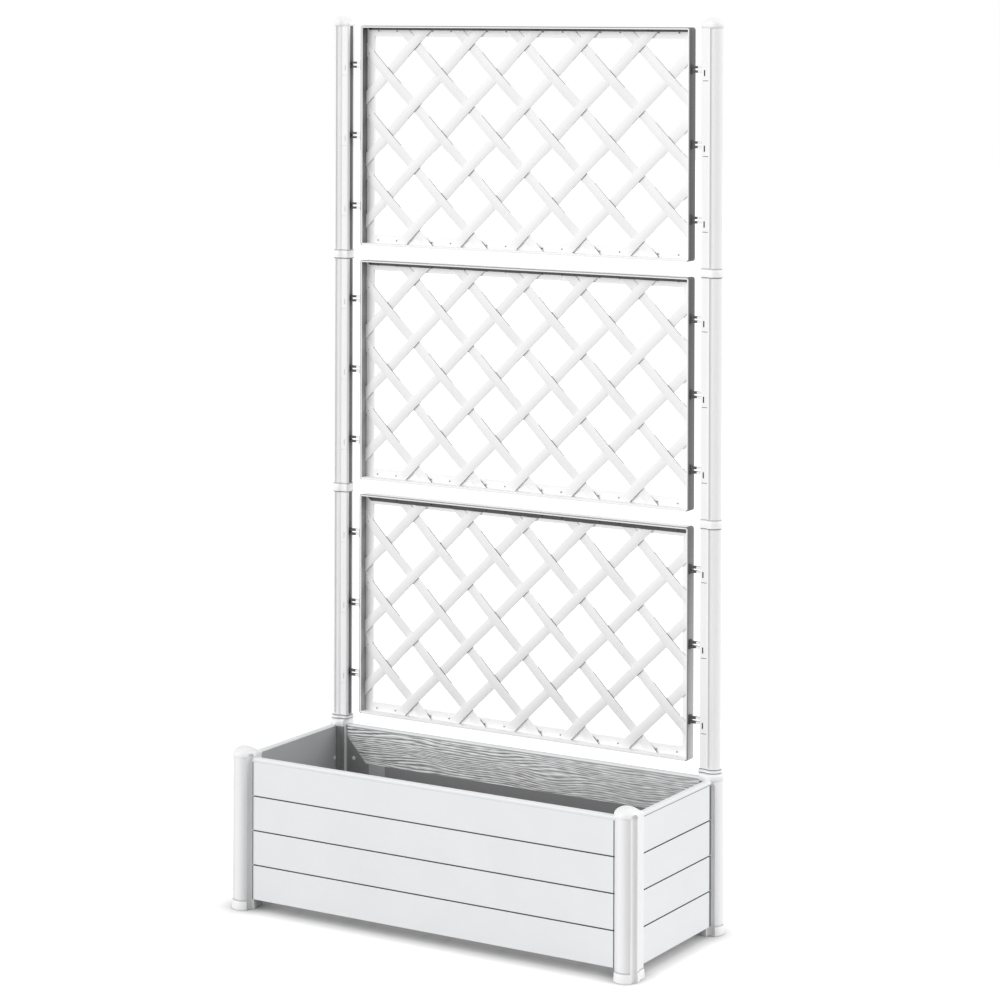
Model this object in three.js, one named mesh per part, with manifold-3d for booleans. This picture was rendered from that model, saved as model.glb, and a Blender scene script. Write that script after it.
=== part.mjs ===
// Planter with trellis: a rectangular trough between four corner posts, with a three-tier woven trellis standing on
// the two back posts. Millimetres, X to the right, Y to the back, Z up, origin on the floor under the middle.
import * as THREE from 'three';
import { mergeVertices } from 'three/addons/utils/BufferGeometryUtils.js';
import Module from 'manifold-3d';

const wasm = await Module();
wasm.setup();

// ---- driving dimensions ----------------------------------------------------------------------------------------
const WIDTH = 1000;             // overall, over the round columns
const DEPTH = 420;              // overall, over the round columns
const GAP = 0.3;                // clearance between neighbouring parts

const POST = { r: 25, half: 21.5, reach: 35 };      // corner post: round front, flat-sided body, length of the body
const BACK_POST = { ...POST, reach: 21 };           // the back ones have a shorter body
const RAIL = { r: 15.4, half: 12.5, reach: 23 };    // trellis post, the same shape but slimmer
// Flutes between round front and body: place along the body, distance from the middle line, radius.
const POST_FLUTE = { at: -11.6, out: POST.r + 1.8, r: 10.1 };
const RAIL_FLUTE = { at: 0, out: RAIL.r + 1.8, r: 5.4 };
const CHANNEL = { half: 8, deep: 6.3 };             // channel for the clips, in the end of a trellis post's body
const POST_BORE = 15.6;
const RAIL_BORE = 9.4;
const PLUG_PLAY = 0.4;          // how much slimmer a plug is than its bore
const PLUG = 20;                // how deep caps, feet and couplings reach into the posts
const SPIGOT = 75;              // how deep a trellis post stands in its corner post
const FOOT_TOP = 21.7;
const FOOT_FLARE = [2.6, 1];    // how far a foot stands out beyond its post, at the floor and at its top
const CAP_LIP = 1.5;            // how far caps and couplings stand out beyond the posts
const CAP_FALL = 0.7;           // share of its height that a cap loses towards the end of the body
const FRONT_CAP = { height: 21, skirt: 3, crest: 4 };
const TOP_CAP = { height: 23, skirt: 5, crest: 3 };
const ARCH_BELOW = { front: 1, back: 10 };  // where the arches of the flutes begin, below the tops of the posts
const COLLAR_HEIGHT = 16;
const COLLAR_LIP = 0.4;
const COLLAR_FOOT = { round: 1.4, side: 3.4 };  // how far the collar's top stands out beyond the trellis post

const WALL_BOTTOM = 23;
const WALL_TOP = 330;
const WALL_THICK = 15;
const BOARDS = 4;
const SEAM = { half: 1.9, deep: 2.4 };
const RIM = 8;                  // height of the rounded rim above the top board
const FRONT_FACE = 6;           // outer face of the front and back walls beyond the column centres
const SIDE_FACE = 12;           // outer face of the side walls beyond the column centres
const FRONT_POST_ABOVE = 1;     // tops of the posts against the top of the walls
const BACK_POST_BELOW = 5;
const RIB = 6;                  // thickness of the ribs of the posts that reach into the ends of the walls
const RIB_BELOW = 20;           // their upper ends below the top of the walls
const FLUTE_RIB = { root: POST.r - 9, pin: POST.r + 6, tip: POST.r + 11.5 };
const BODY_RIB = { sunk: 5, pin: POST.reach + 6.8, tip: POST.reach + 13 };
const PIN = { r: 2.5, head: 5, length: 10.2, below: 76 };
const LEDGE = 12;

const TRAY_FLOOR = 4;
const TRAY_RIB = 10;
const TRAY_Z = 40;
const TRAY_LIP = 22;
const TRAY_THICK = 3;
const TRAY_PLAY = 1;
const DRAIN = { r: 7, pitch: 190, y: 45 };

const RAIL_OUT = 3;             // trellis posts stand this much further out than the corner posts
const TIERS = 3;
const PANEL_OVER_COLLAR = 17;
const PANEL_H = 498;
const TIER_GAP = 33;
const CLIP_REACH = 34;          // distance between the side of a frame and a trellis post
const PANEL_AHEAD = 8;          // front plane of the trellis frames before the column centres
const PANEL_DEEP = 27;
const FRAME_WALL = 5;
const FRAME_BORDER = 24;
const BORDER_THICK = 3;
const LATTICE_X = 72;           // crossing pitch across
const LATTICE_Z = 70;           // crossing pitch up
const SLAT_W = 22;
const SLAT_LOW = 3.4;           // slat thickness where it runs under another
const SLAT_HIGH = 7.6;          // and where it runs over
const CLIPS = 3;
const CLIP_PITCH = 160;
const CLIP_SEAT = 5.8;          // how far the prongs of a clip reach into the channel
const PRONG = { z: 4.7, root: 2.6, tip: 2.1, half: 4.8 };
const COUPLING = 20;

// ---- sizes that follow -----------------------------------------------------------------------------------------
const XC = WIDTH / 2 - POST.r;
const YC = DEPTH / 2 - POST.r;
const LONG_Y = YC + FRONT_FACE;
const SIDE_X = XC + SIDE_FACE;
const LONG_INNER = LONG_Y - WALL_THICK;
const SIDE_INNER = SIDE_X - WALL_THICK;
const POST_BOTTOM = FOOT_TOP + GAP;
const FRONT_POST_TOP = WALL_TOP + FRONT_POST_ABOVE;
const BACK_POST_TOP = WALL_TOP - BACK_POST_BELOW;
const COLLAR_TOP = BACK_POST_TOP + COLLAR_HEIGHT;
const RIB_TOP = WALL_TOP - RIB_BELOW;
const PIN_Z = WALL_TOP - PIN.below;
const PIN_HOLE = PIN.r + GAP;
const RAIL_X = XC + RAIL_OUT;
const TIER_PITCH = PANEL_H + TIER_GAP;
const PANEL_BOTTOM = COLLAR_TOP + PANEL_OVER_COLLAR;
const PANEL_W = 2 * (RAIL_X - RAIL.reach - CLIP_REACH);
const PANEL_FRONT = YC - PANEL_AHEAD;
const PANEL_BACK = PANEL_FRONT + PANEL_DEEP;
const TRELLIS_TOP = PANEL_BOTTOM + (TIERS - 1) * TIER_PITCH + PANEL_H - 1;
const clipHeights = Array.from({ length: CLIPS }, (_, i) => PANEL_H / 2 + (i - (CLIPS - 1) / 2) * CLIP_PITCH);

// ---- plain solids ----------------------------------------------------------------------------------------------
function toSolid(positions, triangles) {
  const raw = new THREE.BufferGeometry();
  raw.setAttribute('position', new THREE.Float32BufferAttribute(positions, 3));
  raw.setIndex(triangles);
  const geometry = mergeVertices(raw, 1e-5);
  const p = geometry.attributes.position.array;
  const t = Uint32Array.from(geometry.index.array);
  let volume = 0;
  for (let i = 0; i < t.length; i += 3) {
    const [a, b, c] = [t[i] * 3, t[i + 1] * 3, t[i + 2] * 3];
    volume += p[a] * (p[b + 1] * p[c + 2] - p[b + 2] * p[c + 1])
      - p[a + 1] * (p[b] * p[c + 2] - p[b + 2] * p[c])
      + p[a + 2] * (p[b] * p[c + 1] - p[b + 1] * p[c]);
  }
  if (volume < 0) {
    for (let i = 0; i < t.length; i += 3) [t[i + 1], t[i + 2]] = [t[i + 2], t[i + 1]];
  }
  return new wasm.Manifold(new wasm.Mesh({ numProp: 3, vertProperties: Float32Array.from(p), triVerts: t }));
}

// Stack of rings with equal point counts, closed by a flat cap at each end.
function loft(rings) {
  const n = rings[0].length;
  const positions = rings.flat(2);
  const triangles = [];
  for (let k = 0; k + 1 < rings.length; k += 1) {
    for (let i = 0; i < n; i += 1) {
      const j = (i + 1) % n;
      const [a, b, c, d] = [k * n + i, k * n + j, (k + 1) * n + j, (k + 1) * n + i];
      triangles.push(a, b, c, a, c, d);
    }
  }
  const flat = (ring) => {
    const normal = [0, 0, 0];
    ring.forEach((v, i) => {
      const w = ring[(i + 1) % n];
      for (let k = 0; k < 3; k += 1) normal[k] += v[(k + 1) % 3] * w[(k + 2) % 3] - v[(k + 2) % 3] * w[(k + 1) % 3];
    });
    const size = normal.map(Math.abs);
    const drop = size.indexOf(Math.max(...size));
    const keep = [0, 1, 2].filter((axis) => axis !== drop);
    return THREE.ShapeUtils.triangulateShape(ring.map((v) => new THREE.Vector2(v[keep[0]], v[keep[1]])), []);
  };
  const bottom = flat(rings[0]);
  const last = (rings.length - 1) * n;
  // Side walls above run first ring to last; caps are turned to match by comparing one shared edge.
  const edges = new Set();
  for (let i = 0; i < n; i += 1) edges.add(`${i},${(i + 1) % n}`);
  const forward = bottom.some((f) => [0, 1, 2].some((e) => edges.has(`${f[e]},${f[(e + 1) % 3]}`)));
  for (const f of bottom) triangles.push(...(forward ? [f[0], f[2], f[1]] : f));
  const top = flat(rings[rings.length - 1]);
  const ahead = top.some((f) => [0, 1, 2].some((e) => edges.has(`${f[e]},${f[(e + 1) % 3]}`)));
  for (const f of top) {
    const [a, b, c] = ahead ? f : [f[0], f[2], f[1]];
    triangles.push(a + last, b + last, c + last);
  }
  return toSolid(positions, triangles);
}

// Outline given as pairs, carried from one station to another; place turns (u, v, s) into a point.
const sweep = (outline, from, to, place) => loft([from, to].map((s) => outline.map(([u, v]) => place(u, v, s))));
const upright = (outline, z0, z1) => sweep(outline, z0, z1, (u, v, s) => [u, v, s]);
const box = (x0, x1, y0, y1, z0, z1) => upright([[x0, y0], [x1, y0], [x1, y1], [x0, y1]], z0, z1);

function circle(r, count, cx = 0, cy = 0, turn = 0) {
  const points = [];
  for (let i = 0; i < count; i += 1) {
    const a = turn + (2 * Math.PI * i) / count;
    points.push([cx + r * Math.cos(a), cy + r * Math.sin(a)]);
  }
  return points;
}
const rod = (x, y, r, z0, z1, count) => upright(circle(r, count, x, y, Math.PI / count), z0, z1);
const rodX = (y, z, r, x0, x1, count) => sweep(circle(r, count, y, z), x0, x1, (u, v, s) => [s, u, v]);
const rodY = (x, z, r, y0, y1, count) => sweep(circle(r, count, x, z), y0, y1, (u, v, s) => [u, s, v]);
const join = (first, ...others) => others.reduce((whole, piece) => whole.add(piece), first);
const cut = (first, ...others) => others.reduce((whole, piece) => whole.subtract(piece), first);

// ---- post outlines ---------------------------------------------------------------------------------------------
// Round front around the origin, flat-sided body towards +u with eased corners; o grows the outline evenly.
function postOutline({ r, half, reach }, o = 0, arc = 14) {
  const [R, H, L] = [r + o, half + o, reach + o];
  const ease = Math.min(4 + o, H - 1);
  const points = [];
  for (let i = 0; i <= arc; i += 1) {
    const a = Math.PI / 2 + (Math.PI * i) / arc;
    points.push([R * Math.cos(a), R * Math.sin(a)]);
  }
  points.push([Math.sqrt(Math.max(R * R - H * H, 1)) * 0.98, -H]);
  for (const [cv, a0] of [[-(H - ease), -Math.PI / 2], [H - ease, 0]]) {
    for (let i = 0; i <= 3; i += 1) {
      const a = a0 + (Math.PI / 2) * (i / 3);
      points.push([L - ease + ease * Math.cos(a), cv + ease * Math.sin(a)]);
    }
  }
  points.push([Math.sqrt(Math.max(R * R - H * H, 1)) * 0.98, H]);
  return points;
}

// Where a post stands, which way its body points and what its section is.
class Stand {
  constructor(x, y, bodyX, bodyY, section) {
    this.x = x;
    this.y = y;
    this.ux = bodyX;
    this.uy = bodyY;
    this.section = section;
  }

  at(u, v) {
    return [this.x + u * this.ux - v * this.uy, this.y + u * this.uy + v * this.ux];
  }

  outline(o, arc) {
    return postOutline(this.section, o, arc).map(([u, v]) => this.at(u, v));
  }

  prism(o, z0, z1, arc) {
    return upright(this.outline(o, arc), z0, z1);
  }

  // Block between two corners given in the post's own directions.
  block(u0, u1, v0, v1, z0, z1) {
    return upright([this.at(u0, v0), this.at(u1, v0), this.at(u1, v1), this.at(u0, v1)], z0, z1);
  }

  rod(u, v, r, z0, z1, count) {
    const [x, y] = this.at(u, v);
    return rod(x, y, r, z0, z1, count);
  }

  rings(levels, arc) {
    return levels.map(([z, o]) => this.outline(o, arc).map(([x, y]) => [x, y, z]));
  }
}

const STANDS = {
  front_left: new Stand(-XC, -YC, 0, 1, POST),
  front_right: new Stand(XC, -YC, 0, 1, POST),
  back_left: new Stand(-XC, YC, 1, 0, BACK_POST),
  back_right: new Stand(XC, YC, -1, 0, BACK_POST),
};
const RAIL_STANDS = { left: new Stand(-RAIL_X, YC, 1, 0, RAIL), right: new Stand(RAIL_X, YC, -1, 0, RAIL) };
const span = (a, b) => (a < b ? [a, b] : [b, a]);

// ---- trough: feet, corner posts, caps, collars -----------------------------------------------------------------
function foot(stand) {
  const [floor, neck] = FOOT_FLARE;
  const levels = [[0, floor - 1], [2, floor], [FOOT_TOP, neck]];
  const body = cut(loft(stand.rings(levels, 10)), ...flutes(stand, POST_FLUTE, -1, 2 * FOOT_TOP, 14));
  return join(body, stand.rod(0, 0, POST_BORE - PLUG_PLAY, FOOT_TOP - 1, FOOT_TOP + PLUG, 12));
}

// Cutters for the two flutes of a post, straight up to a height and closing in an arch above it.
function flutes(stand, { at, out, r }, z0, z1, count) {
  const arch = [0.45, 0.88].map((a) => (a * Math.PI) / 2);
  return [-out, out].map((v) => {
    const [x, y] = stand.at(at, v);
    const ring = (radius, z) => circle(radius, count, x, y).map(([a, b]) => [a, b, z]);
    return loft([ring(r, z0), ring(r, z1), ...arch.map((q) => ring(r * Math.cos(q), z1 + r * Math.sin(q)))]);
  });
}

// Where the post of a corner meets its long wall and its side wall: front posts turn their body to the side wall,
// back posts to the long wall, and the other wall ends in the flute.
function joints(end) {
  const { reach } = end < 0 ? POST : BACK_POST;
  const fluted = { meets: POST.r + GAP, ...FLUTE_RIB };
  const body = { meets: reach + GAP, root: reach - BODY_RIB.sunk, pin: BODY_RIB.pin, tip: BODY_RIB.tip };
  return end < 0 ? { long: fluted, side: body } : { long: body, side: fluted };
}

// Each corner post carries one rib at its body end and one in a flute, both reaching into the wall ends.
function cornerPost(stand) {
  const [side, end] = [Math.sign(stand.x), Math.sign(stand.y)];
  const top = end < 0 ? FRONT_POST_TOP : BACK_POST_TOP;
  const arch = top - (end < 0 ? ARCH_BELOW.front : ARCH_BELOW.back);
  const { long, side: across } = joints(end);
  const middleY = end * (LONG_Y - WALL_THICK / 2);
  const middleX = side * (SIDE_X - WALL_THICK / 2);
  const post = join(cut(stand.prism(0, POST_BOTTOM, top, 12), ...flutes(stand, POST_FLUTE, 0, arch, 14)),
    box(...span(side * (XC - long.root), side * (XC - long.tip)), middleY - RIB / 2, middleY + RIB / 2,
      POST_BOTTOM, RIB_TOP),
    box(middleX - RIB / 2, middleX + RIB / 2, ...span(end * (YC - across.root), end * (YC - across.tip)),
      POST_BOTTOM, RIB_TOP));
  return cut(post, stand.rod(0, 0, POST_BORE, POST_BOTTOM - 1, top + 1, 16),
    rodY(side * (XC - long.pin), PIN_Z, PIN_HOLE, middleY - RIB, middleY + RIB, 8),
    rodX(end * (YC - across.pin), PIN_Z, PIN_HOLE, middleX - RIB, middleX + RIB, 8));
}

// Rounded cap: an upright skirt, then ever smaller rings drawn towards a crest above the round front, and falling
// away towards the end of the body.
function domeCap(stand, base, { height, skirt, crest }, bore, arc) {
  const outer = postOutline(stand.section, CAP_LIP, arc);
  const end = stand.section.reach + CAP_LIP;
  const rings = stand.rings([[base, CAP_LIP], [base + skirt, CAP_LIP]], arc);
  for (const a of [0.3, 0.58, 0.85]) {
    const s = Math.cos((a * Math.PI) / 2);
    const lift = (height - skirt) * Math.sin((a * Math.PI) / 2) ** 0.9;
    rings.push(outer.map(([u, v]) => {
      const along = crest + (u - crest) * s;
      const fall = CAP_FALL * THREE.MathUtils.smoothstep(along, crest, end);
      return [...stand.at(along, v * s), base + skirt + lift * (1 - fall)];
    }));
  }
  return join(loft(rings), stand.rod(0, 0, bore - PLUG_PLAY, base - PLUG, base + 1, 12));
}

// Front caps carry the tops of the flutes.
const frontCap = (stand) => cut(domeCap(stand, FRONT_POST_TOP + GAP, FRONT_CAP, POST_BORE, 12),
  ...flutes(stand, POST_FLUTE, 0, FRONT_POST_TOP - ARCH_BELOW.front, 14));

// Collar on a back post: as wide as the corner post, with a round shoulder in to the slimmer trellis post.
function collar(stand) {
  const z0 = BACK_POST_TOP + GAP;
  const rise = COLLAR_TOP - z0;
  const levels = [[0, 1], [0.62, 1], [0.82, 0.88], [0.95, 0.55], [1, 0]];
  const mix = (a, b, t) => a + (b - a) * t;
  const section = (t) => ({
    r: mix(RAIL.r + COLLAR_FOOT.round, POST.r + COLLAR_LIP, t),
    half: mix(RAIL.half + COLLAR_FOOT.side, POST.half + COLLAR_LIP, t),
    reach: mix(RAIL.reach + COLLAR_FOOT.round, BACK_POST.reach + COLLAR_LIP, t),
  });
  const rings = levels.map(([up, t]) => postOutline(section(t), 0, 10)
    .map(([u, v]) => [...stand.at(u - RAIL_OUT * (1 - t), v), z0 + rise * up]));
  return cut(loft(rings), stand.rod(0, 0, POST_BORE, z0 - 1, COLLAR_TOP + 1, 16));
}

// ---- walls -----------------------------------------------------------------------------------------------------
// Cross-section of a wall: d inward from the outer face, then height. Board seams outside, rounded rim on top.
function wallProfile() {
  const rimLine = WALL_TOP - RIM;
  const board = (rimLine - WALL_BOTTOM) / BOARDS;
  const points = [[0, WALL_BOTTOM]];
  for (let k = 1; k < BOARDS; k += 1) {
    const z = WALL_BOTTOM + k * board;
    points.push([0, z - SEAM.half], [SEAM.deep, z], [0, z + SEAM.half]);
  }
  points.push([0, rimLine - 1], [1.1, rimLine], [0, rimLine + 0.8], [0, WALL_TOP - 4.6], [0.7, WALL_TOP - 2.4]);
  points.push([2.4, WALL_TOP - 0.7], [4.6, WALL_TOP], [WALL_THICK - 4.4, WALL_TOP]);
  points.push([WALL_THICK - 1.8, WALL_TOP - 0.9], [WALL_THICK - 0.4, WALL_TOP - 2.8]);
  points.push([WALL_THICK, WALL_TOP - 5], [WALL_THICK, WALL_BOTTOM]);
  return points;
}

// Room for the skirts of both collars, taken out of the walls that end under them.
function clearCollars(wall) {
  const cutter = (stand) => stand.prism(COLLAR_LIP + GAP, BACK_POST_TOP, WALL_TOP + 1, 12);
  return cut(wall, cutter(STANDS.back_left), cutter(STANDS.back_right));
}

// Long walls run along X, side walls along Y. Slots in both ends take the ribs of the posts.
function longWall(end) {
  const rib = joints(end).long;
  const half = XC - rib.meets;
  const middle = end * (LONG_Y - WALL_THICK / 2);
  let wall = sweep(wallProfile(), -half, half, (d, z, s) => [s, end * (LONG_Y - d), z]);
  const ledgeX = XC - POST.reach - 4;
  wall = wall.add(box(-ledgeX, ledgeX, ...span(end * (LONG_INNER + 1), end * (LONG_INNER - LEDGE)),
    WALL_BOTTOM, TRAY_Z - TRAY_RIB - GAP));
  for (const side of [-1, 1]) {
    wall = cut(wall,
      box(...span(side * (XC - rib.tip - GAP), side * XC), middle - RIB / 2 - GAP, middle + RIB / 2 + GAP,
        WALL_BOTTOM - 1, RIB_TOP + GAP),
      rodY(side * (XC - rib.pin), PIN_Z, PIN_HOLE, ...span(middle, end * (LONG_INNER - 1)), 8));
  }
  return end > 0 ? clearCollars(wall) : wall;
}

function sideWall(side) {
  const middle = side * (SIDE_X - WALL_THICK / 2);
  const [front, back] = [joints(-1).side, joints(1).side];
  let wall = sweep(wallProfile(), -YC + front.meets, YC - back.meets, (d, z, s) => [side * (SIDE_X - d), s, z]);
  for (const [end, rib] of [[-1, front], [1, back]]) {
    wall = cut(wall,
      box(middle - RIB / 2 - GAP, middle + RIB / 2 + GAP, ...span(end * (YC - rib.tip - GAP), end * YC),
        WALL_BOTTOM - 1, RIB_TOP + GAP),
      rodX(end * (YC - rib.pin), PIN_Z, PIN_HOLE, ...span(middle, side * (SIDE_INNER - 1)), 8));
  }
  return clearCollars(wall);
}

// Domed pin pushed through the inner skin of a wall into the rib of the post; place turns (u, v, s) into a point,
// with s running out of the wall.
function wallPin(place) {
  const ring = (r, s) => circle(r, 8).map(([u, v]) => place(u, v, s));
  const domed = [ring(PIN.head, GAP), ring(PIN.head, 1.2), ring(PIN.head * 0.6, 2.6)];
  return loft([ring(PIN.r, -PIN.length), ring(PIN.r, GAP), ...domed]);
}

// ---- floor tray ------------------------------------------------------------------------------------------------
// Outline around the four posts: stepped in at the bodies of the front posts and of the back posts.
function trayOutline(inset) {
  const xBody = XC - BACK_POST.reach - 2 * TRAY_PLAY - GAP - inset;
  const xWide = SIDE_INNER - TRAY_PLAY - inset;
  const xFront = XC - POST.half - 2 * TRAY_PLAY - inset;
  const yOuter = LONG_INNER - TRAY_PLAY - inset;
  const yStep = YC - POST.r - inset;
  const yFront = -YC + POST.reach + TRAY_PLAY + inset;
  const right = [[xFront, -yOuter], [xFront, yFront], [xWide, yFront], [xWide, yStep], [xBody, yStep], [xBody, yOuter]];
  return [...right, ...right.map(([x, y]) => [-x, y]).reverse()];
}

function floorTray() {
  const under = [TRAY_Z - TRAY_RIB, TRAY_Z + 1];
  const y = LONG_INNER - 2 * TRAY_PLAY;
  let tray = upright(trayOutline(0), TRAY_Z, TRAY_Z + TRAY_LIP);
  tray = tray.subtract(upright(trayOutline(TRAY_THICK), TRAY_Z + TRAY_FLOOR, TRAY_Z + TRAY_LIP + 1));
  for (let m = -2 * DRAIN.pitch; m <= 2 * DRAIN.pitch; m += DRAIN.pitch) {
    tray = tray.add(box(m - TRAY_THICK / 2, m + TRAY_THICK / 2, -y, y, ...under));
  }
  for (const v of [-DRAIN.y, DRAIN.y]) {
    for (let i = -1.5; i <= 1.5; i += 1) {
      tray = tray.subtract(rod(i * DRAIN.pitch, v, DRAIN.r, TRAY_Z - 1, TRAY_Z + TRAY_FLOOR + 1, 8));
    }
  }
  return tray;
}

// ---- trellis posts ---------------------------------------------------------------------------------------------
// Half the gap between two frames, rounded down, lies below the middle of a coupling.
const couplingMiddle = (k) => PANEL_BOTTOM + k * TIER_PITCH + PANEL_H + TIER_GAP / 3;

// Beside each clip, a slit in the front face of the post and a small step below it.
function clipMarks(stand, z) {
  const toFront = stand.ux > 0 ? -1 : 1;
  const face = (a, b) => span(toFront * (RAIL.half + a), toFront * (RAIL.half + b));
  return [
    stand.block(RAIL.reach - 9.5, RAIL.reach - 6.5, ...face(-3, 1), z - 14, z - 1),
    stand.block(RAIL.reach - 17, RAIL.reach - 4, ...face(-0.9, 1), z - 24.6, z - 23.2),
  ];
}

function trellisPost(stand, tier) {
  const bottom = tier === 0 ? COLLAR_TOP + GAP : couplingMiddle(tier - 1) + COUPLING / 2 + GAP;
  const top = tier === TIERS - 1 ? TRELLIS_TOP - GAP : couplingMiddle(tier) - COUPLING / 2 - GAP;
  const open = tier === 0 ? bottom + 9 : bottom - 1;
  let post = cut(stand.prism(0, bottom, top, 8), ...flutes(stand, RAIL_FLUTE, open, top + 1, 10),
    stand.block(RAIL.reach - CHANNEL.deep, RAIL.reach + 1, -CHANNEL.half, CHANNEL.half, open, top + 1));
  if (tier === 0) {
    const ring = loft(stand.rings([[bottom, 2], [bottom + 3.6, 2], [bottom + 5.8, 0.6], [bottom + 8, 0.4]], 8));
    const spigot = rod(Math.sign(stand.x) * XC, stand.y, POST_BORE - PLUG_PLAY, bottom - SPIGOT, bottom + 1, 16);
    post = join(post, ring, spigot);
  }
  const marks = clipHeights.flatMap((h) => clipMarks(stand, PANEL_BOTTOM + tier * TIER_PITCH + h));
  return cut(post, stand.rod(0, 0, RAIL_BORE, bottom - SPIGOT - 1, top + 1, 12), ...marks);
}

function coupling(stand, k) {
  const [z0, z1] = [couplingMiddle(k) - COUPLING / 2, couplingMiddle(k) + COUPLING / 2];
  const band = loft(stand.rings([[z0, CAP_LIP + 0.1], [z0 + 4, CAP_LIP], [z1, CAP_LIP - 0.6]], 8));
  return join(band, stand.rod(0, 0, RAIL_BORE - PLUG_PLAY, z0 - PLUG, z1 + PLUG, 12));
}

// ---- trellis panels --------------------------------------------------------------------------------------------
// One slat, straight in front view. Its face is high over every second crossing, drops along the openings and runs
// low under the crossings between; its ends and slopes lie along the slats that cross it. t counts crossings across
// from the middle of the panel, and the slat passes through height lean * t + c, in crossings.
function slat(lean, c) {
  const width = (SLAT_W * Math.hypot(LATTICE_X, LATTICE_Z)) / (2 * LATTICE_X * LATTICE_Z);
  const [reach, rise] = [PANEL_W / 2 / LATTICE_X + 0.3, PANEL_H / 2 / LATTICE_Z + 0.3];
  const [low, high] = span(lean * (-rise - c), lean * (rise - c));
  const [t0, t1] = [Math.max(-reach, low), Math.min(reach, high)];
  const face = [];
  for (let k = Math.ceil(t0 - 1); k <= Math.floor(t1 + 1); k += 1) {
    const over = (Math.abs(k) % 2 === 0) === (lean > 0);
    const half = width / 2;
    const points = [[k - 1 + half, SLAT_LOW], [k - half, SLAT_HIGH], [k + half, SLAT_HIGH], [k + 1 - half, SLAT_LOW]];
    if (over) face.push(...points);
  }
  const heightAt = (t) => {
    const i = face.findIndex(([a], n) => n + 1 < face.length && t >= a && t <= face[n + 1][0]);
    if (i < 0) return SLAT_LOW;
    const [[a, ha], [b, hb]] = [face[i], face[i + 1]];
    return ha + ((hb - ha) * (t - a)) / (b - a);
  };
  const inside = face.filter(([t]) => t > t0 + 0.01 && t < t1 - 0.01);
  const outline = [[t0, heightAt(t0)], ...inside, [t1, heightAt(t1)], [t1, 0], [t0, 0]];
  const seat = PANEL_BACK - BORDER_THICK + 1;
  return sweep(outline, -width / 2, width / 2, (t, h, w) => [
    (t + w) * LATTICE_X, seat - h, (lean * (t - w) + c) * LATTICE_Z]);
}

function roundedRect(w, h, r, steps) {
  const points = [];
  for (const [cx, cy, a0] of [[1, -1, -90], [1, 1, 0], [-1, 1, 90], [-1, -1, 180]]) {
    for (let i = 0; i <= steps; i += 1) {
      const a = ((a0 + (90 * i) / steps) * Math.PI) / 180;
      points.push([cx * (w / 2 - r) + r * Math.cos(a), cy * (h / 2 - r) + r * Math.sin(a)]);
    }
  }
  return points;
}

// Shallow frame with a border at its back, the two layers of slats woven across it, made around its own middle.
function trellisPanel() {
  const plate = (inset, r, y0, y1) => sweep(roundedRect(PANEL_W - 2 * inset, PANEL_H - 2 * inset, r, 2), y0, y1,
    (u, v, s) => [u, s, v]);
  let frame = cut(plate(0, 6, PANEL_FRONT, PANEL_BACK),
    plate(FRAME_WALL, 3, PANEL_FRONT - 1, PANEL_BACK - BORDER_THICK),
    plate(FRAME_BORDER, 1, PANEL_BACK - BORDER_THICK - 1, PANEL_BACK + 1));
  for (const h of clipHeights) {
    for (const side of [-1, 1]) {
      const wall = span(side * (PANEL_W / 2 - FRAME_WALL - 1), side * (PANEL_W / 2 + 1));
      frame = frame.subtract(rodX(YC, h - PANEL_H / 2, PIN_HOLE, ...wall, 8));
    }
  }
  const far = (PANEL_W / 2 - FRAME_BORDER) / LATTICE_X + (PANEL_H / 2 - FRAME_BORDER) / LATTICE_Z;
  const slats = [];
  for (let c = 1; c < far; c += 2) {
    for (const lean of [-1, 1]) slats.push(slat(lean, c), slat(lean, -c));
  }
  const [w, h] = [PANEL_W / 2 - FRAME_WALL + 1, PANEL_H / 2 - FRAME_WALL + 1];
  return frame.add(join(...slats).intersect(box(-w, w, PANEL_FRONT, PANEL_BACK, -h, h)));
}

// Clip: a plate on the side of the frame with a peg through it and two prongs in the channel of the post.
function clip(side) {
  const x = PANEL_W / 2 + GAP;
  const tip = RAIL_X - RAIL.reach + CLIP_SEAT;
  const at = (x0, x1, y, z) => box(...span(side * x0, side * x1), YC - y, YC + y, -z, z);
  const outline = [[x + 1, -PRONG.root], [tip, -PRONG.tip], [tip, PRONG.tip], [x + 1, PRONG.root]];
  const prong = (z) => sweep(outline, YC - PRONG.half, YC + PRONG.half, (u, v, s) => [side * u, s, v + z]);
  return join(at(x, x + 2.6, 6.5, 10), prong(-PRONG.z), prong(PRONG.z),
    rodX(YC, 0, PIN.r, ...span(side * (x - FRAME_WALL), side * (x + 1)), 6));
}

// ---- assembly --------------------------------------------------------------------------------------------------
function mesh(name, solid, shade) {
  const data = solid.asOriginal().simplify(0.01).getMesh();
  const points = [];
  for (let i = 0; i < data.numVert; i += 1) {
    for (let k = 0; k < 3; k += 1) points.push(data.vertProperties[i * data.numProp + k]);
  }
  const geometry = new THREE.BufferGeometry();
  geometry.setAttribute('position', new THREE.Float32BufferAttribute(points, 3));
  geometry.setIndex(Array.from(data.triVerts));
  geometry.computeVertexNormals();
  const made = new THREE.Mesh(geometry, new THREE.MeshStandardMaterial({ color: shade, roughness: 0.45 }));
  made.name = name;
  return made;
}

const RESIN = 0xf2f3f4;
const INNER_RESIN = 0xe4e5e6;
const planter = new THREE.Group();
planter.name = 'planter_with_trellis';
const add = (name, solid, shade = RESIN) => planter.add(mesh(name, solid, shade));

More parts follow.
